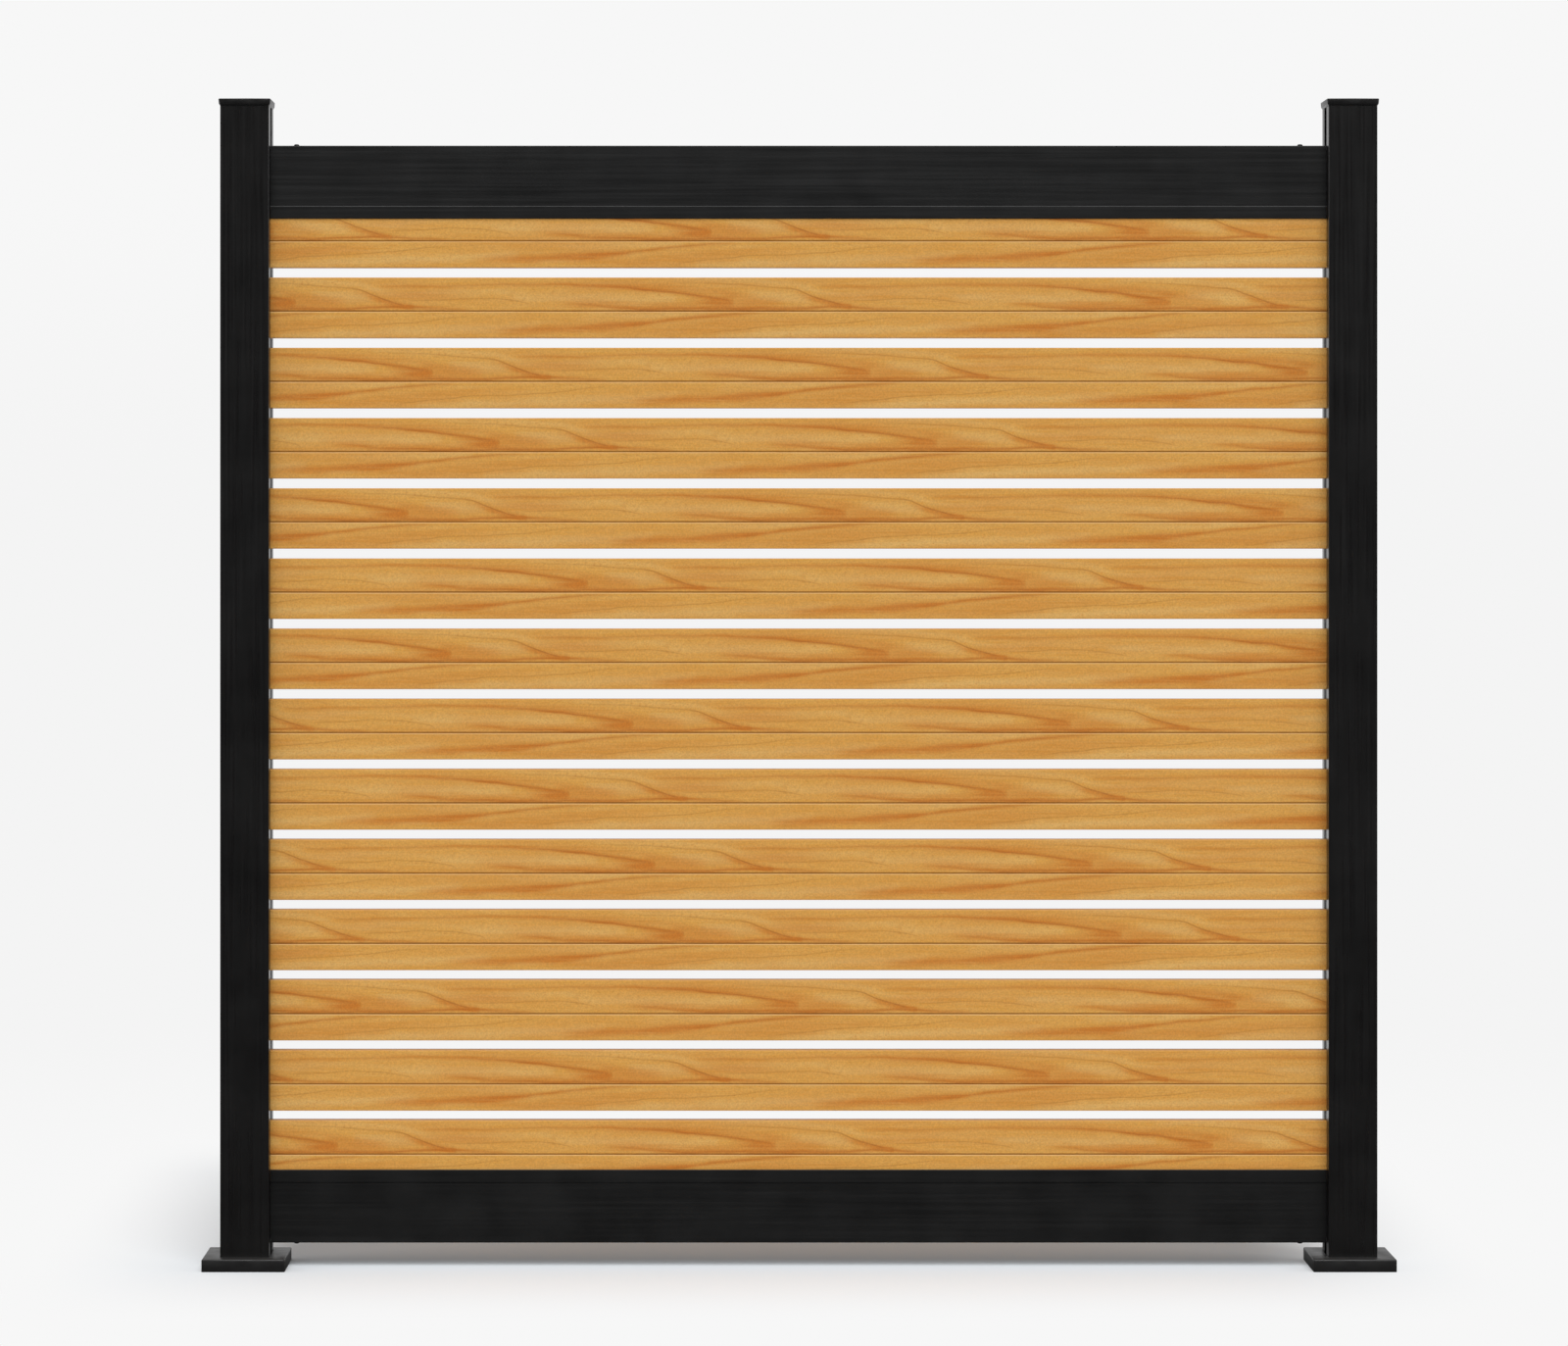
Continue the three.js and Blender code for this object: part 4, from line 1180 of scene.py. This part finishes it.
bpy.ops.object.select_all(action="DESELECT")
bpy.ops.mesh.primitive_cube_add(
    size=1, location=(-POST_CENTRE, 0, cover_height / 2),
    scale=(2 * COVER_HALF, 2 * COVER_HALF, cover_height),
)
cover = start_piece("left_foot_cover")
pick_faces(cover, looks_down)
bpy.ops.mesh.inset(thickness=COVER_WALL)
bpy.ops.mesh.extrude_region_move(
    TRANSFORM_OT_translate={"value": (0, 0, cover_height - COVER_WALL)}
)
bpy.ops.mesh.inset(thickness=COVER_HALF - COVER_WALL - COVER_OPENING)
pick_faces(cover, looks_up)
bpy.ops.mesh.inset(thickness=COVER_HALF - COVER_OPENING)
pick_faces(
    cover,
    lambda centre, normal: abs(normal.z) > LEVEL_ENOUGH and abs(centre.y) < NEAR
    and abs(centre.x + POST_CENTRE) < NEAR,
)
bpy.ops.mesh.bridge_edge_loops()
print(f"cover {2 * COVER_HALF / MM:.0f} mm square, {cover_height / MM:.1f} mm high")

# %% [markdown]
# The four upright edges and the four round the top are rounded in one go, so that they meet
# in clean corners. The lower edge, which stands on the floor, stays as it is.

# %% Both base covers, rounded
COVER_ROUNDING = 2 * MM
COVER_EDGE = 0.3 * MM


def is_outer_corner(point):
    """True at the cover's four outer corners, top and bottom."""
    reach = COVER_HALF - NEAR
    return abs(point.x + POST_CENTRE) > reach and abs(point.y) > reach


pick_edges(
    cover,
    lambda a, b: is_outer_corner(a) and is_outer_corner(b) and max(a.z, b.z) > cover_height / 2,
)
bpy.ops.mesh.bevel(offset=COVER_ROUNDING, segments=4, affect="EDGES")
finish_piece(cover, COVER_EDGE, cover_nylon)
right_cover = copy_of(cover, "right_foot_cover", HALF_TURN)
for side, piece in (("left", cover), ("right", right_cover)):
    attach(piece, f"{side}_cover")
    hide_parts(f"{side}_base_cover")

# %% [markdown]
# ## Rail screws
#
# A pan-head screw near each end of both rails ties the rail to its bracket; on the top rail
# the heads break the skyline. The head is a cylinder whose top is inset and lifted into a
# dome, and the shank grows from its underside and ends in a blunt point.

# %% One screw
HEAD_RADIUS = 4.2 * MM
HEAD_HEIGHT = 2.8 * MM
SKIRT_HEIGHT = 0.45 * HEAD_HEIGHT  # the upright part under the dome
DOME_STEPS_MM = ((0.5, 0.8), (0.9, 0.5), (1.2, 0.24))  # inwards and up
SHANK_RADIUS = 2.1 * MM
SHANK_LENGTH = 9 * MM
TIP_SHARE = 0.4  # of the shank's radius

screw_low, screw_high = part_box("top_left_screw")
screw_x = (screw_low.x + screw_high.x) / 2
head_foot = screw_high.z - HEAD_HEIGHT

bpy.ops.object.select_all(action="DESELECT")
bpy.ops.mesh.primitive_cylinder_add(
    vertices=32, radius=HEAD_RADIUS, depth=SKIRT_HEIGHT,
    location=(screw_x, 0, head_foot + SKIRT_HEIGHT / 2),
)
screw = start_piece("top_left_rail_screw")
pick_faces(screw, looks_up)
for inward_mm, lift_mm in DOME_STEPS_MM:
    bpy.ops.mesh.inset(thickness=inward_mm * MM)
    bpy.ops.transform.translate(value=(0, 0, lift_mm * MM))
pick_faces(screw, looks_down)
bpy.ops.mesh.inset(thickness=HEAD_RADIUS - SHANK_RADIUS)
bpy.ops.mesh.extrude_region_move(
    TRANSFORM_OT_translate={"value": (0, 0, SHANK_RADIUS - SHANK_LENGTH)}
)
bpy.ops.mesh.extrude_region_move(TRANSFORM_OT_translate={"value": (0, 0, -SHANK_RADIUS)})
bpy.ops.transform.resize(
    value=(TIP_SHARE, TIP_SHARE, 1), center_override=(screw_x, 0, head_foot - SHANK_LENGTH)
)
bpy.ops.object.mode_set(mode="OBJECT")
print(f"screw {(screw_high.z - head_foot + SHANK_LENGTH) / MM:.1f} mm long at x = {screw_x:.4f}")

# %% [markdown]
# The cross recess is cut into the mesh and not painted on, because its shadow then follows
# the light. Two crossed bars that narrow downwards are the cutters, and a Boolean takes each
# out of the head.

# %% Cross recess
RECESS_WIDTH = 1.1 * MM
RECESS_LENGTH = 4.4 * MM
RECESS_DEPTH = 1.5 * MM
CUTTER_RISE = 0.2 * MM  # how far the cutter's middle stands above the head
CUTTER_FOOT = 0.6  # size of the cutter's lower end, as a share of the upper one's
SCREW_EDGE = 0.12 * MM

for length_x, length_y in ((RECESS_LENGTH, RECESS_WIDTH), (RECESS_WIDTH, RECESS_LENGTH)):
    bpy.ops.object.select_all(action="DESELECT")
    bpy.ops.mesh.primitive_cube_add(
        size=1, location=(screw_x, 0, screw_high.z + CUTTER_RISE),
        scale=(length_x, length_y, 2 * RECESS_DEPTH),
    )
    cutter = start_piece("recess_cutter")
    pick_faces(cutter, looks_down)
    bpy.ops.transform.resize(
        value=(CUTTER_FOOT, CUTTER_FOOT, 1), center_override=(screw_x, 0, screw_high.z)
    )
    bpy.ops.object.mode_set(mode="OBJECT")
    bpy.context.view_layer.objects.active = screw
    cut = screw.modifiers.new("recess", "BOOLEAN")
    cut.operation = "DIFFERENCE"
    cut.object = cutter
    bpy.ops.object.modifier_apply(modifier=cut.name)
    bpy.data.objects.remove(cutter)
bpy.ops.object.select_all(action="DESELECT")
screw.select_set(True)
bpy.context.view_layer.objects.active = screw
finish_piece(screw, SCREW_EDGE, black_zinc, segments=1)

# %% [markdown]
# The other three screws are copies. The right ones are turned round the screen's middle, and
# the bottom ones are flipped over, because they go up into the bottom rail.

# %% The other three screws
FLIP = Matrix.Rotation(math.pi, 4, "X")
bottom_low, bottom_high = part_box("bottom_left_screw")
down = Matrix.Translation((0, 0, bottom_low.z + screw_high.z)) @ FLIP
screws = {"top_left": screw}
screws["top_right"] = copy_of(screw, "top_right_rail_screw", HALF_TURN)
screws["bottom_left"] = copy_of(screw, "bottom_left_rail_screw", down)
screws["bottom_right"] = copy_of(screw, "bottom_right_rail_screw", HALF_TURN @ down)
for corner, piece in screws.items():
    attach(piece, "screen")
    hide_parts(f"{corner}_screw")
print(len(screws), "rail screws")
